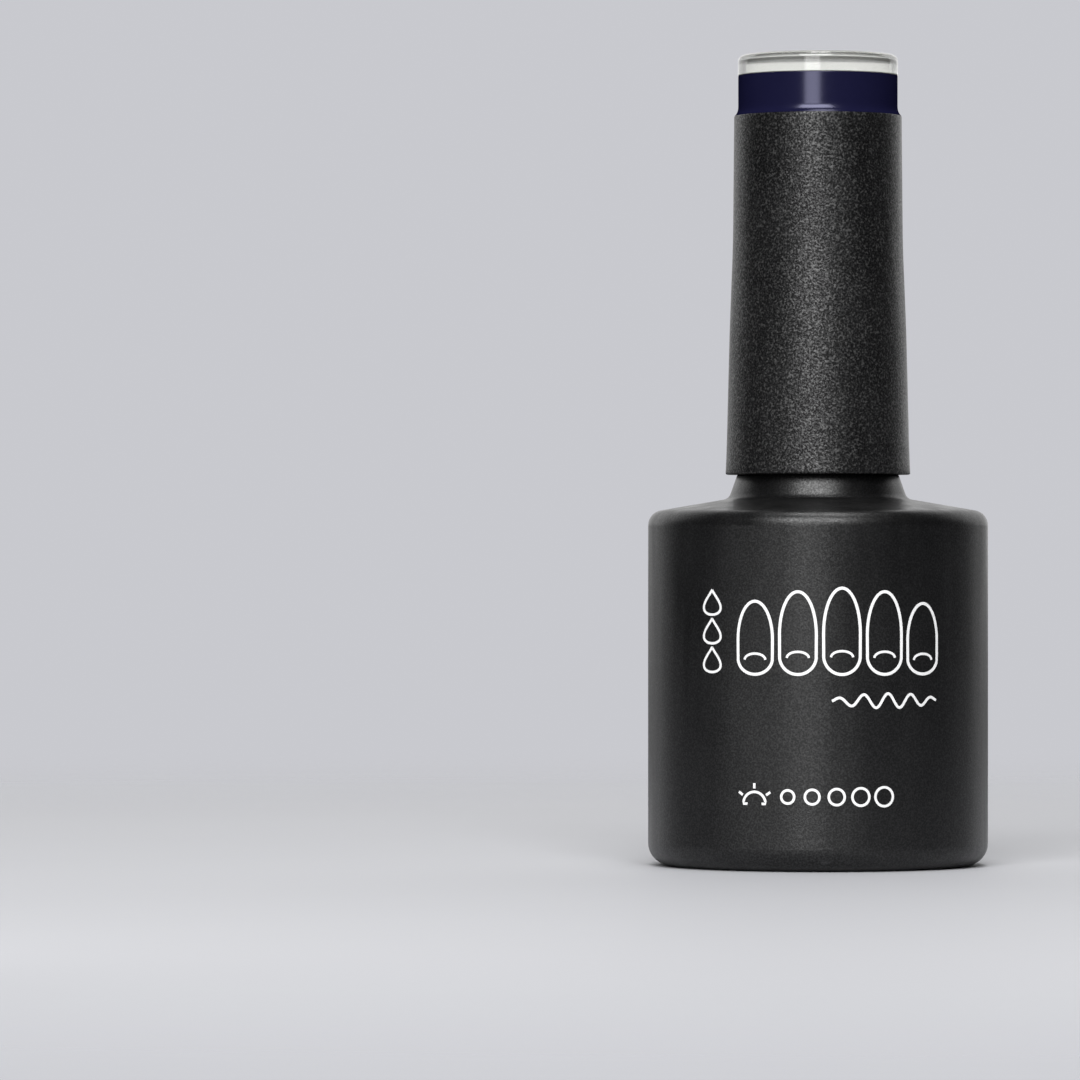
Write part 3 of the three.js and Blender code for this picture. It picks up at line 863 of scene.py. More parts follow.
def build_bristle_tree() -> bpy.types.NodeTree:
    """Builds a tuft of filaments that leave a round bore, belly out and close to a rounded tip.

    Returns:
        A geometry tree. Its sizes are metres, and Seed places the filaments.
    """
    inputs = {
        "Geometry": ("NodeSocketGeometry", None),
        "Bore Radius": (FLOAT, 0.0014),
        "Root Height": (FLOAT, 0.018),
        "Length": (FLOAT, 0.0125),
        "Filament Radius": (FLOAT, 0.00007),
        "Spacing": (FLOAT, 0.00015),
        "Tip Rounding": (FLOAT, 0.2),
        "Flatness": (FLOAT, 0.3),
        "Seed": ("NodeSocketInt", 4),
        "Material": ("NodeSocketMaterial", None),
    }
    tree, sheet, entry, leave = new_group(
        "bristle_tuft", "GeometryNodeTree", inputs, {"Geometry": "NodeSocketGeometry"}
    )
    given = entry.outputs
    feeds = {"Vertices": 40, "Radius": given["Bore Radius"]}
    bore = sheet.add("GeometryNodeMeshCircle", feeds, fill_type="NGON")
    feeds = {
        "Mesh": bore.outputs["Mesh"],
        "Distance Min": given["Spacing"],
        "Density Max": 3.0e8,
        "Seed": given["Seed"],
    }
    roots = sheet.add("GeometryNodeDistributePointsOnFaces", feeds, distribute_method="POISSON")
    line = sheet.add("GeometryNodeCurvePrimitiveLine", {"Start": (0, 0, 0), "End": (0, 0, 1)})
    pieces = sheet.add("GeometryNodeResampleCurve", {"Curve": line.outputs["Curve"], "Count": 9})
    feeds = {"Points": roots.outputs["Points"], "Instance": pieces.outputs["Curve"]}
    stems = sheet.add("GeometryNodeInstanceOnPoints", feeds)
    real = sheet.add("GeometryNodeRealizeInstances", {"Geometry": stems.outputs["Instances"]})
    place = sheet.add("GeometryNodeInputPosition").outputs["Position"]
    split = sheet.add("ShaderNodeSeparateXYZ", {"Vector": place})
    along = split.outputs["Z"]
    flat_place = sheet.add("ShaderNodeCombineXYZ", {"X": split.outputs["X"], "Y": split.outputs["Y"]})
    offset = sheet.add("ShaderNodeVectorMath", {0: flat_place.outputs["Vector"]}, operation="LENGTH")
    share = sheet.math("DIVIDE", offset.outputs["Value"], given["Bore Radius"])
    shape = sheet.add("ShaderNodeFloatCurve", {"Value": along})
    widths = [(0.0, 0.5), (0.2, 0.52), (0.6, 0.64), (0.85, 0.58), (1.0, 0.36)]
    curve = shape.mapping.curves[0]
    curve.points[0].location, curve.points[-1].location = widths[0], widths[-1]
    for at, width in widths[1:-1]:
        curve.points.new(at, width)
    shape.mapping.update()
    spread = sheet.math("MULTIPLY", shape.outputs["Value"], 2.0)
    which = sheet.add("GeometryNodeCurveOfPoint").outputs["Curve Index"]
    feeds = {0: (-1.0, -1.0, -1.0), 1: (1.0, 1.0, 1.0), "ID": which, "Seed": given["Seed"]}
    stray = sheet.add("FunctionNodeRandomValue", feeds, data_type="FLOAT_VECTOR")
    bend = sheet.add("ShaderNodeSeparateXYZ", {"Vector": stray.outputs[0]})
    swing = sheet.math("MULTIPLY", sheet.math("POWER", along, 2.0), 0.09 * MM)
    flatten = sheet.math("SUBTRACT", 1.0, sheet.math("MULTIPLY", given["Flatness"], along))
    x_stray = sheet.math("MULTIPLY", bend.outputs["X"], swing)
    x = sheet.math("MULTIPLY_ADD", split.outputs["X"], spread, x_stray)
    y_wide = sheet.math("MULTIPLY", sheet.math("MULTIPLY", split.outputs["Y"], spread), flatten)
    y = sheet.math("MULTIPLY_ADD", bend.outputs["Y"], swing, y_wide)
    rounding = sheet.math("MULTIPLY", given["Tip Rounding"], sheet.math("POWER", share, 2.0))
    uneven = sheet.math("MULTIPLY", sheet.math("ABSOLUTE", bend.outputs["Z"]), 0.03)
    shortened = sheet.math("SUBTRACT", sheet.math("SUBTRACT", 1.0, rounding), uneven)
    reach = sheet.math("MULTIPLY", given["Length"], shortened)
    z = sheet.math("SUBTRACT", given["Root Height"], sheet.math("MULTIPLY", along, reach))
    spot = sheet.add("ShaderNodeCombineXYZ", {"X": x, "Y": y, "Z": z})
    feeds = {"Geometry": real.outputs["Geometry"], "Position": spot.outputs["Vector"]}
    shaped = sheet.add("GeometryNodeSetPosition", feeds)
    factor = sheet.add("GeometryNodeSplineParameter").outputs["Factor"]
    taper = sheet.remap(factor, 0.6, 1.0, 1.0, 0.45)
    feeds = {"Resolution": 5, "Radius": given["Filament Radius"]}
    section = sheet.add("GeometryNodeCurvePrimitiveCircle", feeds)
    feeds = {
        "Curve": shaped.outputs["Geometry"],
        "Profile Curve": section.outputs["Curve"],
        "Scale": taper,
        "Fill Caps": True,
    }
    tuft = sheet.add("GeometryNodeCurveToMesh", feeds)
    finish_tree(sheet, tuft.outputs["Mesh"], given["Material"], leave)
    return tree


def finish_tree(sheet: NodeSheet, geometry: Any, material: Any, leave: bpy.types.Node) -> None:
    """Ends a geometry tree in Realize Instances and Set Material.

    Args:
        sheet: The tree's sheet.
        geometry: The output to finish.
        material: The material input.
        leave: The group output node.
    """
    real = sheet.add("GeometryNodeRealizeInstances", {"Geometry": geometry})
    feeds = {"Geometry": real.outputs["Geometry"], "Material": material}
    dressed = sheet.add("GeometryNodeSetMaterial", feeds)
    sheet.tree.links.new(dressed.outputs["Geometry"], leave.inputs["Geometry"])


# ---------------------------------------------------------------- sizes shared by the pieces


@cache
def span(node: str) -> tuple[float, float, float]:
    """Returns a node's widest radius, foot height and top height in mm."""
    low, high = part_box(node)
    return high.x / MM, low.z / MM, high.z / MM


@dataclass(frozen=True)
class Thread:
    """The screw thread that the neck and the inner cap share.

    Attributes:
        lead: Rise for each turn in mm.
        turns: Length of each ridge in turns.
        foot_width: Width of a ridge at its foot.
        crest_width: Width of a ridge at its crest.
        depth: Height of the neck's ridge.
        radial_play: Gap from crest to wall.
        axial_play: Gap from flank to flank.
        top_drop: From the sealing face down to the ridge's upper end.
        cap_lead_in: Turns by which the cap's ridge starts before the neck's.
    """

    lead: float = 25.4 / 12
    turns: float = 1.5
    foot_width: float = 1.1
    crest_width: float = 0.5
    depth: float = 0.6
    radial_play: float = 0.1
    axial_play: float = 0.15
    top_drop: float = 1.6
    cap_lead_in: float = 0.25

    def neck_start(self, neck_top: float) -> float:
        """Returns the height at which the neck's ridge begins."""
        return neck_top - self.top_drop - self.lead * self.turns

    def cap_start(self, neck_top: float) -> float:
        """Returns the height at which the cap's ridge begins, just under the neck's."""
        beneath = (self.foot_width + self.crest_width) / 2 + self.axial_play
        return self.neck_start(neck_top) - self.cap_lead_in * self.lead - beneath

    def ridge_inputs(self) -> dict[str, float]:
        """Collects the ridge tree's inputs that both ridges share.

        Returns:
            Input name to value, with lengths in metres.
        """
        return {
            "Foot Width": self.foot_width * MM,
            "Crest Width": self.crest_width * MM,
            "Lead": self.lead * MM,
            "Turns": self.turns,
        }


THREAD = Thread()


# ---------------------------------------------------------------- glass bottle and its print


@dataclass
class GlassBottle:
    """The thick glass bottle, sprayed black outside, with its threaded neck."""

    ink_room: float = 0.02
    heel_radius: float = 1.95
    edge_radius: float = 1.3
    side_top: float = 28.94
    shoulder_slope: float = 9.7
    collar_foot_radius: float = 7.6
    collar_top_radius: float = 6.75
    collar_height: float = 2.4
    collar_fillet: float = 0.75
    collar_rounding: float = 1.15
    neck_root: float = 5.6
    bore_radius: float = 4.1
    wall: float = 2.6
    base: float = 4.0
    ring_width: float = 1.9
    push_up: float = 0.9
    bead_height: float = 1.6
    bead_half: float = 0.5
    bead_depth: float = 0.4
    overspray: float = 0.5

    def shoulder_at(self, radius: float) -> float:
        """Finds the height of the outer shoulder cone at a radius.

        Args:
            radius: Distance from the axis in mm.

        Returns:
            The height in mm. At the full radius it's where the side and the cone would meet.
        """
        full, _, _ = span("glass_bottle")
        slope = math.radians(self.shoulder_slope)
        turn = math.pi / 2 - slope
        edge_r = full - self.edge_radius * (1 - math.cos(turn))
        edge_z = self.side_top + self.edge_radius * math.sin(turn)
        return edge_z + (edge_r - radius) * math.tan(slope)

    def outline(self) -> list[Point]:
        """Draws the whole outline, outside and inside.

        Returns:
            Its points in mm, from the middle of the foot to the middle of the cavity's floor.
        """
        full, foot, top = span("glass_bottle")
        skin = full - self.ink_room
        ring_out = full - self.heel_radius
        ring_in = ring_out - self.ring_width
        collar_foot = self.shoulder_at(self.collar_foot_radius)
        collar_top = collar_foot + self.collar_height
        bead = collar_top + self.bead_height
        cavity = full - self.wall
        roof_drop = self.wall / math.cos(math.radians(self.shoulder_slope))
        throat = self.bore_radius + 0.7
        corners: list[Corner] = [
            (0.0, self.push_up, 0.0),
            (ring_in - 0.8, self.push_up, 0.5),
            (ring_in, foot, 0.3),
            (skin, foot, self.heel_radius),
            (skin, self.shoulder_at(skin), self.edge_radius),
            (self.collar_foot_radius, collar_foot, self.collar_fillet),
            (self.collar_top_radius, collar_top, self.collar_rounding),
            (self.neck_root, collar_top, 0.25),
            (self.neck_root, bead - self.bead_half - self.bead_depth, 0.2),
            (self.neck_root + self.bead_depth, bead - self.bead_half, 0.25),
            (self.neck_root + self.bead_depth, bead + self.bead_half, 0.25),
            (self.neck_root, bead + self.bead_half + self.bead_depth, 0.2),
            (self.neck_root, top, 0.4),
            (self.bore_radius, top, 0.15),
            (self.bore_radius, self.shoulder_at(throat) - roof_drop, 1.4),
            (cavity, self.shoulder_at(cavity) - roof_drop, 1.6),
            (cavity, self.base, 2.5),
            (0.0, self.base, 0.0),
        ]
        return rounded(corners)

    def build(self, wardrobe: Wardrobe, ridges: bpy.types.NodeTree) -> None:
        """Builds the glass and dresses the coated and the bare parts.

        Args:
            wardrobe: Where the materials come from.
            ridges: The helical ridge tree.
        """
        _, _, top = span("glass_bottle")
        coated, bare = wardrobe.get(COATED_BLACK), wardrobe.get(BARE_BLACK_GLASS)
        shell = turned("glass_shell", self.outline(), segments=256)
        values = {
            "Wall Radius": self.neck_root * MM,
            "Depth": THREAD.depth * MM,
            **THREAD.ridge_inputs(),
            "Start Height": THREAD.neck_start(top) * MM,
            "Material": bare,
        }
        ridge = grown("neck_ridge", ridges, values)
        mesh = joined("glass_bottle_shell", [shell, ridge])
        placed("coated_bottle", mesh, Body.BOTTLE, [coated, bare], ["glass_bottle"])
        self.mark_bare(mesh)

    def mark_bare(self, mesh: bpy.types.Mesh) -> None:
        """Gives the neck and the inside the bare glass material.

        Args:
            mesh: The glass, with the coated material first and the bare one second.
        """
        full, _, _ = span("glass_bottle")
        collar_top = self.shoulder_at(self.collar_foot_radius) + self.collar_height
        for face in mesh.polygons:
            centre = face.center / MM
            reach = math.hypot(centre.x, centre.y)
            on_neck = centre.z > collar_top + self.overspray
            inward = centre.z > self.base - 0.5 and reach < full - self.wall + 0.3
            on_shoulder = centre.z > self.shoulder_at(reach) - 1.0 and reach > self.neck_root - 0.5
            face.material_index = 1 if on_neck or (inward and not on_shoulder) else 0


@dataclass
class Stroke:
    """A line of ink on the unrolled front, in mm along the surface and up.

    Attributes:
        path: Points along the middle of the line.
        closed: True for a loop.
        width: Width of the line.
    """

    path: list[Point]
    closed: bool = True
    width: float = 0.25


@dataclass
class FrontPrint:
    """A screen-printed ornament on the front: five nails, three drops, a wave and a lamp row."""

    ink_depth: float = 0.03
    line: float = 0.25
    fine_share: float = 0.85
    nail_left: float = -7.5
    nail_foot: float = 16.5
    nail_width: float = 3.1
    nail_gap: float = 0.6
    nail_heights: tuple[float, ...] = (6.1, 6.9, 7.2, 6.9, 5.9)
    drop_middle: float = -10.1
    drop_height: float = 2.1
    wave_left: float = 0.6
    wave_right: float = 10.3
    wave_middle: float = 14.3
    wave_rise: float = 0.6
    lamp_left: float = -6.0
    lamp_foot: float = 5.7
    dot_radius: float = 0.55

    def nails(self) -> list[Stroke]:
        """Draws five outlined nails, each with the small arc at its root.

        Returns:
            Two strokes for each nail.
        """
        strokes = []
        for i, tall in enumerate(self.nail_heights):
            middle = self.nail_left + self.nail_width / 2 + i * (self.nail_width + self.nail_gap)
            strokes.append(Stroke(self.nail_path(middle, tall), width=self.line))
            strokes.append(Stroke(self.root_arc(middle, tall), closed=False, width=self.line * 0.8))
        return strokes

    def nail_path(self, middle: float, tall: float) -> list[Point]:
        """Draws one nail: a shallow root, straight sides, an almond tip.

        Args:
            middle: Place of the nail's middle along the surface, in mm.
            tall: Height of the nail in mm.

        Returns:
            The points of its outline.
        """
        root = 0.22 * tall
        tip = 0.52 * tall
        half = self.nail_width / 2
        points = []
        steps = 48
        for k in range(steps):
            angle = 2 * math.pi * k / steps
            up, across = math.sin(angle), math.cos(angle)
            level = root + up * root if up < 0 else tall - tip + up * tip
            points.append((middle + half * across, self.nail_foot + level))
        return points

    def root_arc(self, middle: float, tall: float) -> list[Point]:
        """Draws the pale crescent's edge near a nail's root.

        Args:
            middle: Place of the nail's middle along the surface, in mm.
            tall: Height of the nail in mm.

        Returns:
            The points of the arc.
        """
        half = self.nail_width * 0.3
        base = self.nail_foot + 0.2 * tall
        steps = 12
        angles = (math.pi * k / steps for k in range(steps + 1))
        return [(middle + half * math.cos(a), base + 0.55 * half * math.sin(a)) for a in angles]

    def drops(self) -> list[Stroke]:
        """Draws a column of three outlined drops.

        Returns:
            One stroke for each drop.
        """
        strokes = []
        pitch = max(self.nail_heights) / 3
        for i in range(3):
            middle = self.nail_foot + pitch * (i + 0.5)
            path = []
            steps = 40
            for k in range(steps):
                t = 2 * math.pi * (k + 0.5) / steps
                across = 0.62 * math.sin(t) * math.sin(t / 2) ** 1.6
                up = 0.5 * math.cos(t)
                path.append((self.drop_middle + self.drop_height * across, middle + self.drop_height * up))
            strokes.append(Stroke(path, width=self.line * self.fine_share))
        return strokes

    def wave(self) -> list[Stroke]:
        """Draws a wave that swells from nothing and dies away again.

        Returns:
            The one stroke.
        """
        steps = 90
        run = self.wave_right - self.wave_left
        path = []
        for k in range(steps + 1):
            share = k / steps
            swell = math.sin(math.pi * share) ** 0.5
            up = self.wave_rise * swell * math.sin(2 * math.pi * 4.5 * share)
            path.append((self.wave_left + run * share, self.wave_middle + up))
        return [Stroke(path, closed=False, width=self.line * 0.9)]

    def lamp_row(self) -> list[Stroke]:
        """Draws a lamp with three rays, then a row of small rings.

        Returns:
            The strokes of the lamp, the rays and the rings.
        """
        lamp = (self.lamp_left, self.lamp_foot)
        half = 1.0
        steps = 16
        thin = self.line * self.fine_share
        hood = [on_circle(lamp, half, math.pi * k / steps) for k in range(steps + 1)]
        strokes = [Stroke(hood, width=thin)]
        for i in range(3):
            angle = math.radians(35 + 55 * i)
            ray = [on_circle(lamp, reach, angle) for reach in (half + 0.28, half + 0.72)]
            strokes.append(Stroke(ray, closed=False, width=thin))
        for i in range(5):
            middle = (self.lamp_left + 2.9 + 2.05 * i, self.lamp_foot + 0.6)
            strokes.append(Stroke(self.circle(middle, self.dot_radius + 0.06 * i), width=thin))
        return strokes

    @staticmethod
    def circle(middle: Point, radius: float, steps: int = 28) -> list[Point]:
        """Returns a circle's points."""
        return [on_circle(middle, radius, 2 * math.pi * k / steps) for k in range(steps)]

    def wrap(self, work: bmesh.types.BMesh, stroke: Stroke, surface: float) -> None:
        """Adds one stroke to a mesh as a thin closed band bent round the bottle.

        Args:
            work: The mesh to add to.
            stroke: The stroke.
            surface: The bottle's outer radius in mm, level with the top of the ink.
        """
        path = [Vector(p) for p in stroke.path]
        count = len(path)
        rows = []
        for i, here in enumerate(path):
            before = path[i - 1] if stroke.closed or i > 0 else here
            after = path[(i + 1) % count] if stroke.closed or i < count - 1 else here
            along = (after - before).normalized()
            aside = Vector((-along.y, along.x)) * stroke.width / 2
            corners = []
            for side, depth in ((-1, self.ink_depth), (1, self.ink_depth), (1, 0.0), (-1, 0.0)):
                spot = here + aside * side
                angle = spot.x / surface
                radius = (surface - depth) * MM
                place = (radius * math.sin(angle), -radius * math.cos(angle), spot.y * MM)
                corners.append(work.verts.new(place))
            rows.append(corners)
        for i in range(count if stroke.closed else count - 1):
            ahead = rows[(i + 1) % count]
            for k in range(4):
                n = (k + 1) % 4
                work.faces.new((rows[i][k], ahead[k], ahead[n], rows[i][n]))
        if not stroke.closed:
            work.faces.new(rows[0])
            work.faces.new(rows[-1][::-1])

    def build(self, wardrobe: Wardrobe) -> None:
        """Builds the ornament as one thin piece of ink.

        Args:
            wardrobe: Where the materials come from.
        """
        surface, _, _ = span("glass_bottle")
        work = bmesh.new()
        for stroke in [*self.nails(), *self.drops(), *self.wave(), *self.lamp_row()]:
            self.wrap(work, stroke, surface)
        bmesh.ops.recalc_face_normals(work, faces=work.faces)
        mesh = bpy.data.meshes.new("front_print")
        work.to_mesh(mesh)
        work.free()
        smoothed(mesh)
        placed("front_print", mesh, Body.BOTTLE, [wardrobe.get(PRINT_WHITE)])


# ---------------------------------------------------------------- inside the neck and the bottle


@dataclass
class NeckWiper:
    """The soft flanged insert whose lip strips the brush."""

    flange: float = 0.8
    wall: float = 0.7
    funnel: float = 1.2
    orifice: float = 2.15
    plug_radius: float = 4.05

    def build(self, wardrobe: Wardrobe) -> None:
        """Builds the wiper with its lip and funnel.

        Args:
            wardrobe: Where the materials come from.
        """
        reach, foot, top = span("neck_wiper")
        inner = self.plug_radius - self.wall
        corners: list[Corner] = [
            (self.orifice, foot, 0.12),
            (inner, foot, 0.2),
            (self.plug_radius, foot + self.wall, 0.3),
            (self.plug_radius, top - self.flange, 0.0),
            (reach, top - self.flange, 0.08),
            (reach, top, 0.25),
            (inner, top, 0.3),
            (inner, foot + self.wall + self.funnel, 0.5),
            (self.orifice, foot + self.wall, 0.15),
        ]
        mesh = turned("wiper", rounded(corners, closed=True), closed=True, segments=96)
        placed("soft_wiper", mesh, Body.BOTTLE, [wardrobe.get(NATURAL_WIPER)], ["neck_wiper"])


@dataclass
class PolishFill:
    """The polish, with a meniscus where it wets the glass and the brush."""

    climb: float = 0.35
    corner: float = 2.5
    bore: float = 2.15
    tip_gap: float = 0.25

    def build(self, wardrobe: Wardrobe) -> None:
        """Builds the fill.

        Args:
            wardrobe: Where the materials come from.
        """
        reach, foot, top = span("gel_polish")
        _, tip, _ = span("bristle_tuft")
        level = top - self.climb
        corners: list[Corner] = [
            (0.0, foot, 0.0),
            (reach, foot, self.corner),
            (reach, top, 0.0),
            (reach - 0.9, level, 0.6),
            (self.bore + 0.8, level, 0.5),
            (self.bore, level + self.climb * 0.8, 0.05),
            (self.bore, tip - self.tip_gap, 0.3),
            (0.0, tip - self.tip_gap, 0.0),
        ]
        mesh = turned("polish", rounded(corners), segments=128)
        placed("polish_fill", mesh, Body.BOTTLE, [wardrobe.get(WET_NAVY)], ["gel_polish"])


@dataclass
class SealingWasher:
    """The foam washer between the wiper's flange and the cap's roof."""

    hole: float = 1.8

    def build(self, wardrobe: Wardrobe) -> None:
        """Builds the washer with softly rounded cut edges.

        Args:
            wardrobe: Where the materials come from.
        """
        reach, foot, top = span("sealing_washer")
        corners: list[Corner] = [
            (self.hole, foot, 0.12),
            (reach, foot, 0.15),
            (reach, top, 0.15),
            (self.hole, top, 0.12),
        ]
        mesh = turned("washer", rounded(corners, closed=True), closed=True, segments=96)
        placed("foam_washer", mesh, Body.WASHER, [wardrobe.get(WASHER_FOAM)], ["sealing_washer"])


# ---------------------------------------------------------------- cap


@dataclass
class CapSleeve:
    """The tall outer sleeve: a flared foot, a tapered grip, a waist and a straight top."""

    wall: float = 0.75
    foot_flare: float = 0.09
    foot_flare_height: float = 2.1
    grip_inset: float = 0.34
    grip_height: float = 12.3
    waist_inset: float = 0.63
    waist_height: float = 19.5
    top_inset: float = 0.73
    lip_rounding: float = 0.16
    rim_rounding: float = 0.1

    def inset(self, height: float) -> float:
        """Finds how far the sleeve has drawn in.

        Args:
            height: Height above its foot in mm.

        Returns:
            The inset from its widest radius in mm.
        """
        _, foot, top = span("cap_sleeve")
        stations = [
            (0.0, 0.0),
            (self.foot_flare_height, self.foot_flare),
            (self.grip_height, self.grip_inset),
            (self.waist_height, self.waist_inset),
            (top - foot, self.top_inset),
        ]
        for (low, start), (high, end) in zip(stations, stations[1:]):
            if height <= high + AXIS_TOLERANCE:
                return start + (end - start) * (height - low) / (high - low)
        return self.top_inset

    def eased_inset(self, height: float, window: float = 3.0) -> float:
        """Finds the inset with its corners eased.

        Args:
            height: Height above the foot in mm.
            window: Height in mm over which the inset is averaged.

        Returns:
            The eased inset in mm.
        """
        _, foot, top = span("cap_sleeve")
        half = min(window, 2 * height, 2 * (top - foot - height)) / 2
        samples = 9
        offsets = (half * (2 * k / (samples - 1) - 1) for k in range(samples))
        return sum(self.inset(height + offset) for offset in offsets) / samples

    def outer_at(self, z: float) -> float:
        """Returns the outer radius at a height in the assembly."""
        reach, foot, _ = span("cap_sleeve")
        return reach - self.eased_inset(z - foot)

    def build(self, wardrobe: Wardrobe) -> None:
        """Builds the sleeve as one thin-walled tapered tube.

        Args:
            wardrobe: Where the materials come from.
        """
        _, foot, top = span("cap_sleeve")
        steps = 44
        heights = [foot + (top - foot) * k / steps for k in range(steps + 1)]
        outer = [(self.outer_at(z), z) for z in heights]
        inner = [(r - self.wall, z) for r, z in reversed(outer)]
        foot_lip = rounded_end(outer[0], inner[-1], self.lip_rounding, upward=False)
        top_rim = rounded_end(outer[-1], inner[0], self.rim_rounding, upward=True)
        points = [*foot_lip, *outer[1:-1], *top_rim, *inner[1:-1]]
        mesh = turned("sleeve", points, closed=True, segments=256)
        placed("grip_sleeve", mesh, Body.CAP, [wardrobe.get(SOFT_TOUCH_BLACK)], ["cap_sleeve"])


def rounded_end(outer: Point, inner: Point, radius: float, upward: bool) -> list[Point]:
    """Returns the rounded end of a tube's wall.

    Args:
        outer: The wall's outer corner.
        inner: The wall's inner corner.
        radius: Rounding of both corners in mm.
        upward: True for the top end, drawn from outer to inner, else the foot, inner to outer.

    Returns:
        The points of the end, counter-clockwise.
    """
    sign = 1 if upward else -1
    steps = 5
    arcs = []
    for corner, side in ((outer, 1), (inner, -1)):
        centre = (corner[0] - side * radius, corner[1] - sign * radius)
        arc = []
        for k in range(steps + 1):
            angle = math.pi / 2 * k / steps
            across, up = side * radius * math.cos(angle), sign * radius * math.sin(angle)
            arc.append((centre[0] + across, centre[1] + up))
        arcs.append(arc)
    if upward:
        return [*arcs[0], *reversed(arcs[1])]
    return [*arcs[1], *reversed(arcs[0])]


@dataclass
class InnerCap:
    """The threaded inner cap with its brush socket and finned post."""

    skirt_inner: float = 6.3
    roof: float = 1.2
    sleeve_fit: float = 0.1
    socket_radius: float = 2.0
    socket_depth: float = 6.05
    post_wall: float = 1.6
    post_floor: float = 1.4
    top_bore: float = 2.2
    fin_thickness: float = 0.9
    fin_count: int = 6
    fin_bite: float = 0.3
    fin_sink: float = 0.2
    skin_gap: float = 0.02

    def build(self, wardrobe: Wardrobe, sleeve: CapSleeve, ridges: Any, fins: Any) -> None:
        """Builds the skirt, roof and post, and grows the thread and the fins on them.

        Args:
            wardrobe: Where the materials come from.
            sleeve: The sleeve that the skirt fits.
            ridges: The helical ridge tree.
            fins: The fin ring tree.
        """
        _, foot, top = span("inner_cap")
        _, _, roof_under = span("sealing_washer")
        _, _, neck_top = span("glass_bottle")
        roof_top = roof_under + self.roof
        socket_top = roof_under + self.socket_depth
        post = self.socket_radius + self.post_wall
        inset = sleeve.wall + self.sleeve_fit
        middle = (foot + roof_top) / 2
        corners: list[Corner] = [
            (0.0, socket_top, 0.0),
            (self.socket_radius, socket_top, 0.2),
            (self.socket_radius, roof_under, 0.15),
            (self.skirt_inner, roof_under, 0.3),
            (self.skirt_inner, foot, 0.15),
            (sleeve.outer_at(foot) - inset - self.skin_gap, foot, 0.15),
            (sleeve.outer_at(middle) - inset - self.skin_gap, middle, 0.0),
            (sleeve.outer_at(roof_top) - inset - self.skin_gap, roof_top, 0.15),
            (post, roof_top, 0.3),
            (post, top, 0.15),
            (self.top_bore, top, 0.1),
            (self.top_bore, socket_top + self.post_floor, 0.3),
            (0.0, socket_top + self.post_floor, 0.0),
        ]
        black = wardrobe.get(MOULDED_BLACK)
        shell = turned("inner_cap_shell", rounded(corners), segments=128)
        values = {
            "Wall Radius": self.skirt_inner * MM,
            "Depth": -(THREAD.depth - THREAD.radial_play / 2) * MM,
            **THREAD.ridge_inputs(),
            "Start Turn": -THREAD.cap_lead_in,
            "Start Height": THREAD.cap_start(neck_top) * MM,
            "Material": black,
        }
        ridge = grown("cap_ridge", ridges, values)
        values = {
            "Count": self.fin_count,
            "Inner Radius": (post - self.fin_bite) * MM,
            "Outer Radius": (sleeve.outer_at(top) - inset - self.skin_gap) * MM,
            "Thickness": self.fin_thickness * MM,
            "Foot": (roof_top - self.fin_sink) * MM,
            "Top": top * MM,
            "Material": black,
        }
        ring = grown("cap_fins", fins, values)
        mesh = joined("threaded_cap_shell", [shell, ridge, ring])
        placed("threaded_inner_cap", mesh, Body.CAP, [black], ["inner_cap"])


@dataclass
class ShadeAndWindow:
    """The navy shade plug and the clear window that stands on it."""

    plug_wall: float = 0.9
    plug_depth: float = 5.0
    spigot: float = 6.34
    band_radius: float = 6.79
    flare_height: float = 1.0
    rim: float = 1.2
    recess: float = 1.0
    roof: float = 1.5
    window_edge: float = 0.55
    fit: float = 0.05

    def plug_outline(self) -> list[Point]:
        """Draws the hollow plug with its flared foot and recess.

        Returns:
            The points of its outline in mm.
        """
        flange, foot, top = span("shade_plug")
        seat = foot + self.plug_depth
        flare = []
        steps = 10
        for k in range(steps + 1):
            share = k / steps
            radius = self.band_radius + (flange - self.band_radius) * (1 - share) ** 3.2
            flare.append((radius, seat + self.flare_height * share, 0.0))
        corners: list[Corner] = [
            (0.0, top - self.recess - self.roof, 0.0),
            (self.spigot - self.plug_wall, top - self.recess - self.roof, 0.4),
            (self.spigot - self.plug_wall, foot, 0.15),
            (self.spigot, foot, 0.25),
            (self.spigot, seat, 0.0),
            *flare,
            (self.band_radius, top, 0.06),
            (self.band_radius - self.rim, top, 0.06),
            (self.band_radius - self.rim, top - self.recess, 0.1),
            (0.0, top - self.recess, 0.0),
        ]
        return rounded(corners)

    def window_outline(self) -> list[Point]:
        """Draws the window with its spigot and rounded upper edge.

        Returns:
            The points of its outline in mm.
        """
        reach, foot, top = span("top_window")
        seat = foot - self.fit + self.recess
        spigot = self.band_radius - self.rim - self.fit
        corners: list[Corner] = [
            (0.0, foot, 0.0),
            (spigot, foot, 0.1),
            (spigot, seat, 0.05),
            (reach, seat, 0.08),
            (reach, top, self.window_edge),
            (0.0, top, 0.0),
        ]
        return rounded(corners, step=7.0)

    def build(self, wardrobe: Wardrobe) -> None:
        """Builds both pieces.

        Args:
            wardrobe: Where the materials come from.
        """
        plug = turned("plug", self.plug_outline(), segments=256)
        placed("shade_band", plug, Body.CAP, [wardrobe.get(GLOSS_NAVY)], ["shade_plug"])
        window = turned("window", self.window_outline(), segments=256)
        placed("clear_lens", window, Body.CAP, [wardrobe.get(CLEAR_ACRYLIC)], ["top_window"])


# ---------------------------------------------------------------- brush


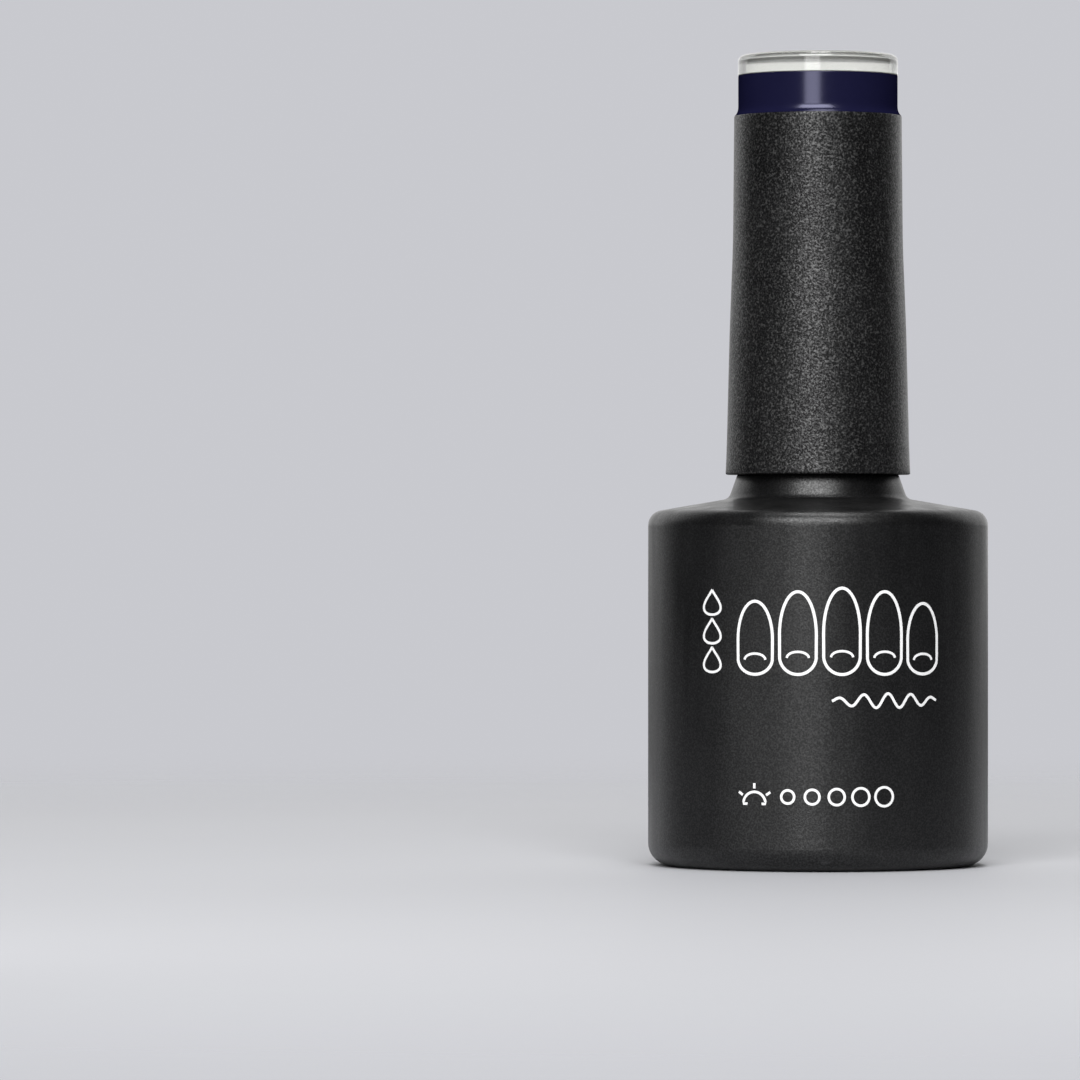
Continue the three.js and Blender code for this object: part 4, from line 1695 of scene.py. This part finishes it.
@dataclass
class Brush:
    """The stem with its ferrule, the filaments and the anchor."""

    stem_radius: float = 1.6
    head_step: float = 0.35
    head_length: float = 6.0
    head_gap: float = 0.05
    groove_pitch: float = 1.3
    groove_depth: float = 0.12
    ferrule_step: float = 0.05
    ferrule_length: float = 4.5
    ferrule_wall: float = 0.4
    root_held: float = 2.6
    root_cut: float = 0.3
    anchor_height: float = 0.9
    filament_radius: float = 0.07
    filament_spacing: float = 0.15
    filament_gap: float = 0.03
    tip_gap: float = 0.02
    seed: int = 7

    @property
    def ferrule_radius(self) -> float:
        """Outer radius of the ferrule."""
        return self.stem_radius + self.head_step - self.ferrule_step

    @property
    def bore_radius(self) -> float:
        """Radius of the bore that holds the filaments."""
        return self.ferrule_radius - self.ferrule_wall

    def stem_outline(self) -> list[Point]:
        """Draws the stem with its ferrule and its grooved head.

        Returns:
            The points of its outline in mm.
        """
        reach, foot, top = span("brush_stem")
        head_foot = top - self.head_length + self.head_gap
        bore_top = foot + self.root_held + self.anchor_height + 0.1
        grooves: list[Corner] = []
        for i in range(3):
            height = head_foot + self.groove_pitch * (i + 1)
            grooves += [
                (reach, height, 0.0),
                (reach - self.groove_depth, height + 0.15, 0.0),
                (reach - self.groove_depth, height + 0.4, 0.0),
                (reach, height + 0.55, 0.0),
            ]
        corners: list[Corner] = [
            (0.0, bore_top, 0.0),
            (self.bore_radius, bore_top, 0.1),
            (self.bore_radius, foot, 0.1),
            (self.ferrule_radius, foot, 0.15),
            (self.ferrule_radius, foot + self.ferrule_length, 0.3),
            (self.stem_radius, foot + self.ferrule_length + 0.6, 0.5),
            (self.stem_radius, head_foot, 0.1),
            (reach, head_foot, 0.08),
            *grooves,
            (reach, top - self.head_step, 0.2),
            (self.stem_radius, top, 0.2),
            (0.0, top, 0.0),
        ]
        return rounded(corners)

    def build(self, wardrobe: Wardrobe, bristles: bpy.types.NodeTree) -> None:
        """Builds the stem and the tuft, and dresses the anchor.

        Args:
            wardrobe: Where the materials come from.
            bristles: The bristle tree.
        """
        stem = turned("stem", self.stem_outline(), segments=72)
        placed("brush_rod", stem, Body.CAP, [wardrobe.get(STEM_BLACK)], ["brush_stem"])
        nylon = wardrobe.get(NYLON)
        _, foot, _ = span("brush_stem")
        _, tip, _ = span("bristle_tuft")
        root = foot + self.root_held - self.root_cut
        values = {
            "Bore Radius": (self.bore_radius - self.filament_radius - self.filament_gap) * MM,
            "Root Height": root * MM,
            "Length": (root - tip - self.tip_gap) * MM,
            "Filament Radius": self.filament_radius * MM,
            "Spacing": self.filament_spacing * MM,
            "Seed": self.seed,
            "Material": nylon,
        }
        tuft = grown("filaments", bristles, values)
        placed("filament_tuft", tuft, Body.CAP, [nylon], ["bristle_tuft"])
        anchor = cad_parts["bristle_anchor"]
        anchor.data.materials.clear()
        anchor.data.materials.append(wardrobe.get(CUT_BRASS))


# ---------------------------------------------------------------- studio


@dataclass
class SoftBox:
    """One large soft light that faces the bottle.

    Attributes:
        name: The light's name.
        azimuth: Degrees round the bottle from the front (-Y), positive towards +X.
        elevation: Degrees above the horizon.
        distance: Metres from the bottle's middle.
        width: Metres across.
        height: Metres tall.
        radiance: Brightness of its face, where white paper in the scene is about 1.
    """

    name: str
    azimuth: float
    elevation: float
    distance: float
    width: float
    height: float
    radiance: float

    def build(self, target: Vector) -> None:
        """Hangs the light and aims it.

        Args:
            target: Where it points, in metres.
        """
        data = bpy.data.lights.new(self.name, "AREA")
        data.shape = "RECTANGLE"
        data.size, data.size_y = self.width, self.height
        data.energy = self.radiance * math.pi * self.width * self.height
        light = bpy.data.objects.new(self.name, data)
        turn, rise = math.radians(self.azimuth), math.radians(self.elevation)
        away = Vector((math.sin(turn) * math.cos(rise), -math.cos(turn) * math.cos(rise), math.sin(rise)))
        light.location = target + away * self.distance
        light.rotation_mode = "QUATERNION"
        light.rotation_quaternion = away.to_track_quat("Z", "Y")
        light.visible_camera = False
        bpy.context.scene.collection.objects.link(light)


@dataclass
class Studio:
    """The pale floor, the soft lights and the camera."""

    camera_side: float = -23.7
    camera_height: float = 27.7
    camera_distance: float = 600.0
    lens: float = 234.5
    floor_radius: float = 0.45
    floor_drop: float = 0.02
    fade_from: float = 0.07
    fade_to: float = 0.34
    backdrop: Colour = (0.58, 0.585, 0.62)
    ambient: float = 0.03

    def lights(self) -> list[SoftBox]:
        """Lists the soft boxes: a low stripe, a high key, an overhead, a fill and a back wall.

        Returns:
            The lights to build.
        """
        return [
            SoftBox("stripe_box", -10.0, 8.0, 1.0, 0.38, 0.28, 5.0),
            SoftBox("key_box", -6.0, 38.0, 1.0, 0.74, 0.58, 8.6),
            SoftBox("overhead_box", 20.0, 85.0, 0.9, 0.28, 0.4, 9.0),
            SoftBox("low_left_fill", -46.0, -8.5, 0.16, 0.1, 0.02, 1.8),
            SoftBox("back_wall", 180.0, 24.0, 0.9, 2.6, 0.85, 1.15),
        ]

    def build(self, wardrobe: Wardrobe) -> None:
        """Sets the camera, the world, the floor and the lights.

        Args:
            wardrobe: Where the materials come from.
        """
        low, high = CAD_BOX
        middle = (low + high) / 2
        self.camera()
        self.world()
        self.floor(wardrobe)
        for box in self.lights():
            box.build(middle)
        bpy.context.scene.view_settings.view_transform = "Standard"

    def camera(self) -> None:
        """Places the camera level in front of the bottle, with the bottle to the right."""
        data = bpy.data.cameras.new("studio_camera")
        data.lens = self.lens
        data.clip_start, data.clip_end = 0.01, 50.0
        camera = bpy.data.objects.new("studio_camera", data)
        camera.location = Vector((self.camera_side, -self.camera_distance, self.camera_height)) * MM
        camera.rotation_euler = (math.pi / 2, 0.0, 0.0)
        bpy.context.scene.collection.objects.link(camera)
        bpy.context.scene.camera = camera

    def world(self) -> None:
        """Makes a plain pale surround that lights the bottle softly."""
        world = bpy.data.worlds.new("studio_world")
        bpy.context.scene.world = world
        world.use_nodes = True
        tree = world.node_tree
        tree.nodes.clear()
        sheet = NodeSheet(tree)
        dim = tuple(channel * self.ambient for channel in self.backdrop)
        glow = sheet.add("ShaderNodeBackground", {"Color": (*dim, 1.0)})
        seen = sheet.add("ShaderNodeBackground", {"Color": (*self.backdrop, 1.0)})
        path = sheet.add("ShaderNodeLightPath")
        direct = sheet.math("MAXIMUM", path.outputs["Is Camera Ray"], path.outputs["Is Transmission Ray"])
        mixed = sheet.add("ShaderNodeMixShader", {0: direct, 1: glow.outputs[0], 2: seen.outputs[0]})
        sheet.add("ShaderNodeOutputWorld", {"Surface": mixed.outputs[0]})

    def floor(self, wardrobe: Wardrobe) -> None:
        """Lays a round plain floor just under the bottle, which fades into the surround.

        Args:
            wardrobe: Where the materials come from.
        """
        steps, drop = 96, -self.floor_drop * MM
        turns = (2 * math.pi * k / steps for k in range(steps))
        rim = [(self.floor_radius * math.cos(a), self.floor_radius * math.sin(a), drop) for a in turns]
        mesh = bpy.data.meshes.new("studio_floor")
        mesh.from_pydata(rim, [], [tuple(range(steps))])
        mesh.materials.append(self.faded(wardrobe.get(STUDIO_FLOOR)))
        floor = bpy.data.objects.new("studio_floor", mesh)
        bpy.context.scene.collection.objects.link(floor)

    def faded(self, material: bpy.types.Material) -> bpy.types.Material:
        """Makes the floor's material fade to nothing away from the bottle.

        Args:
            material: The floor's finish.

        Returns:
            The same material.
        """
        tree = material.node_tree
        sheet = NodeSheet(tree)
        coords = sheet.add("ShaderNodeTexCoord").outputs["Object"]
        reach = sheet.add("ShaderNodeVectorMath", {0: coords}, operation="LENGTH").outputs["Value"]
        feeds = {"Value": reach, 1: self.fade_from, 2: self.fade_to, 3: 1.0, 4: 0.0}
        cover = sheet.add("ShaderNodeMapRange", feeds, interpolation_type="SMOOTHERSTEP")
        shader = next(node for node in tree.nodes if node.type == "BSDF_PRINCIPLED")
        tree.links.new(cover.outputs["Result"], shader.inputs["Alpha"])
        return material


# ---------------------------------------------------------------- the whole


def main() -> None:
    """Builds the studio and every sub-assembly in order."""
    logging.basicConfig(level=logging.INFO, format="%(name)s %(message)s")
    wardrobe = Wardrobe()
    Studio().build(wardrobe)
    ridges, fins, bristles = build_ridge_tree(), build_fin_tree(), build_bristle_tree()
    GlassBottle().build(wardrobe, ridges)
    FrontPrint().build(wardrobe)
    NeckWiper().build(wardrobe)
    PolishFill().build(wardrobe)
    SealingWasher().build(wardrobe)
    sleeve = CapSleeve()
    sleeve.build(wardrobe)
    InnerCap().build(wardrobe, sleeve, ridges, fins)
    ShadeAndWindow().build(wardrobe)
    Brush().build(wardrobe, bristles)


if __name__ == "__main__":
    main()
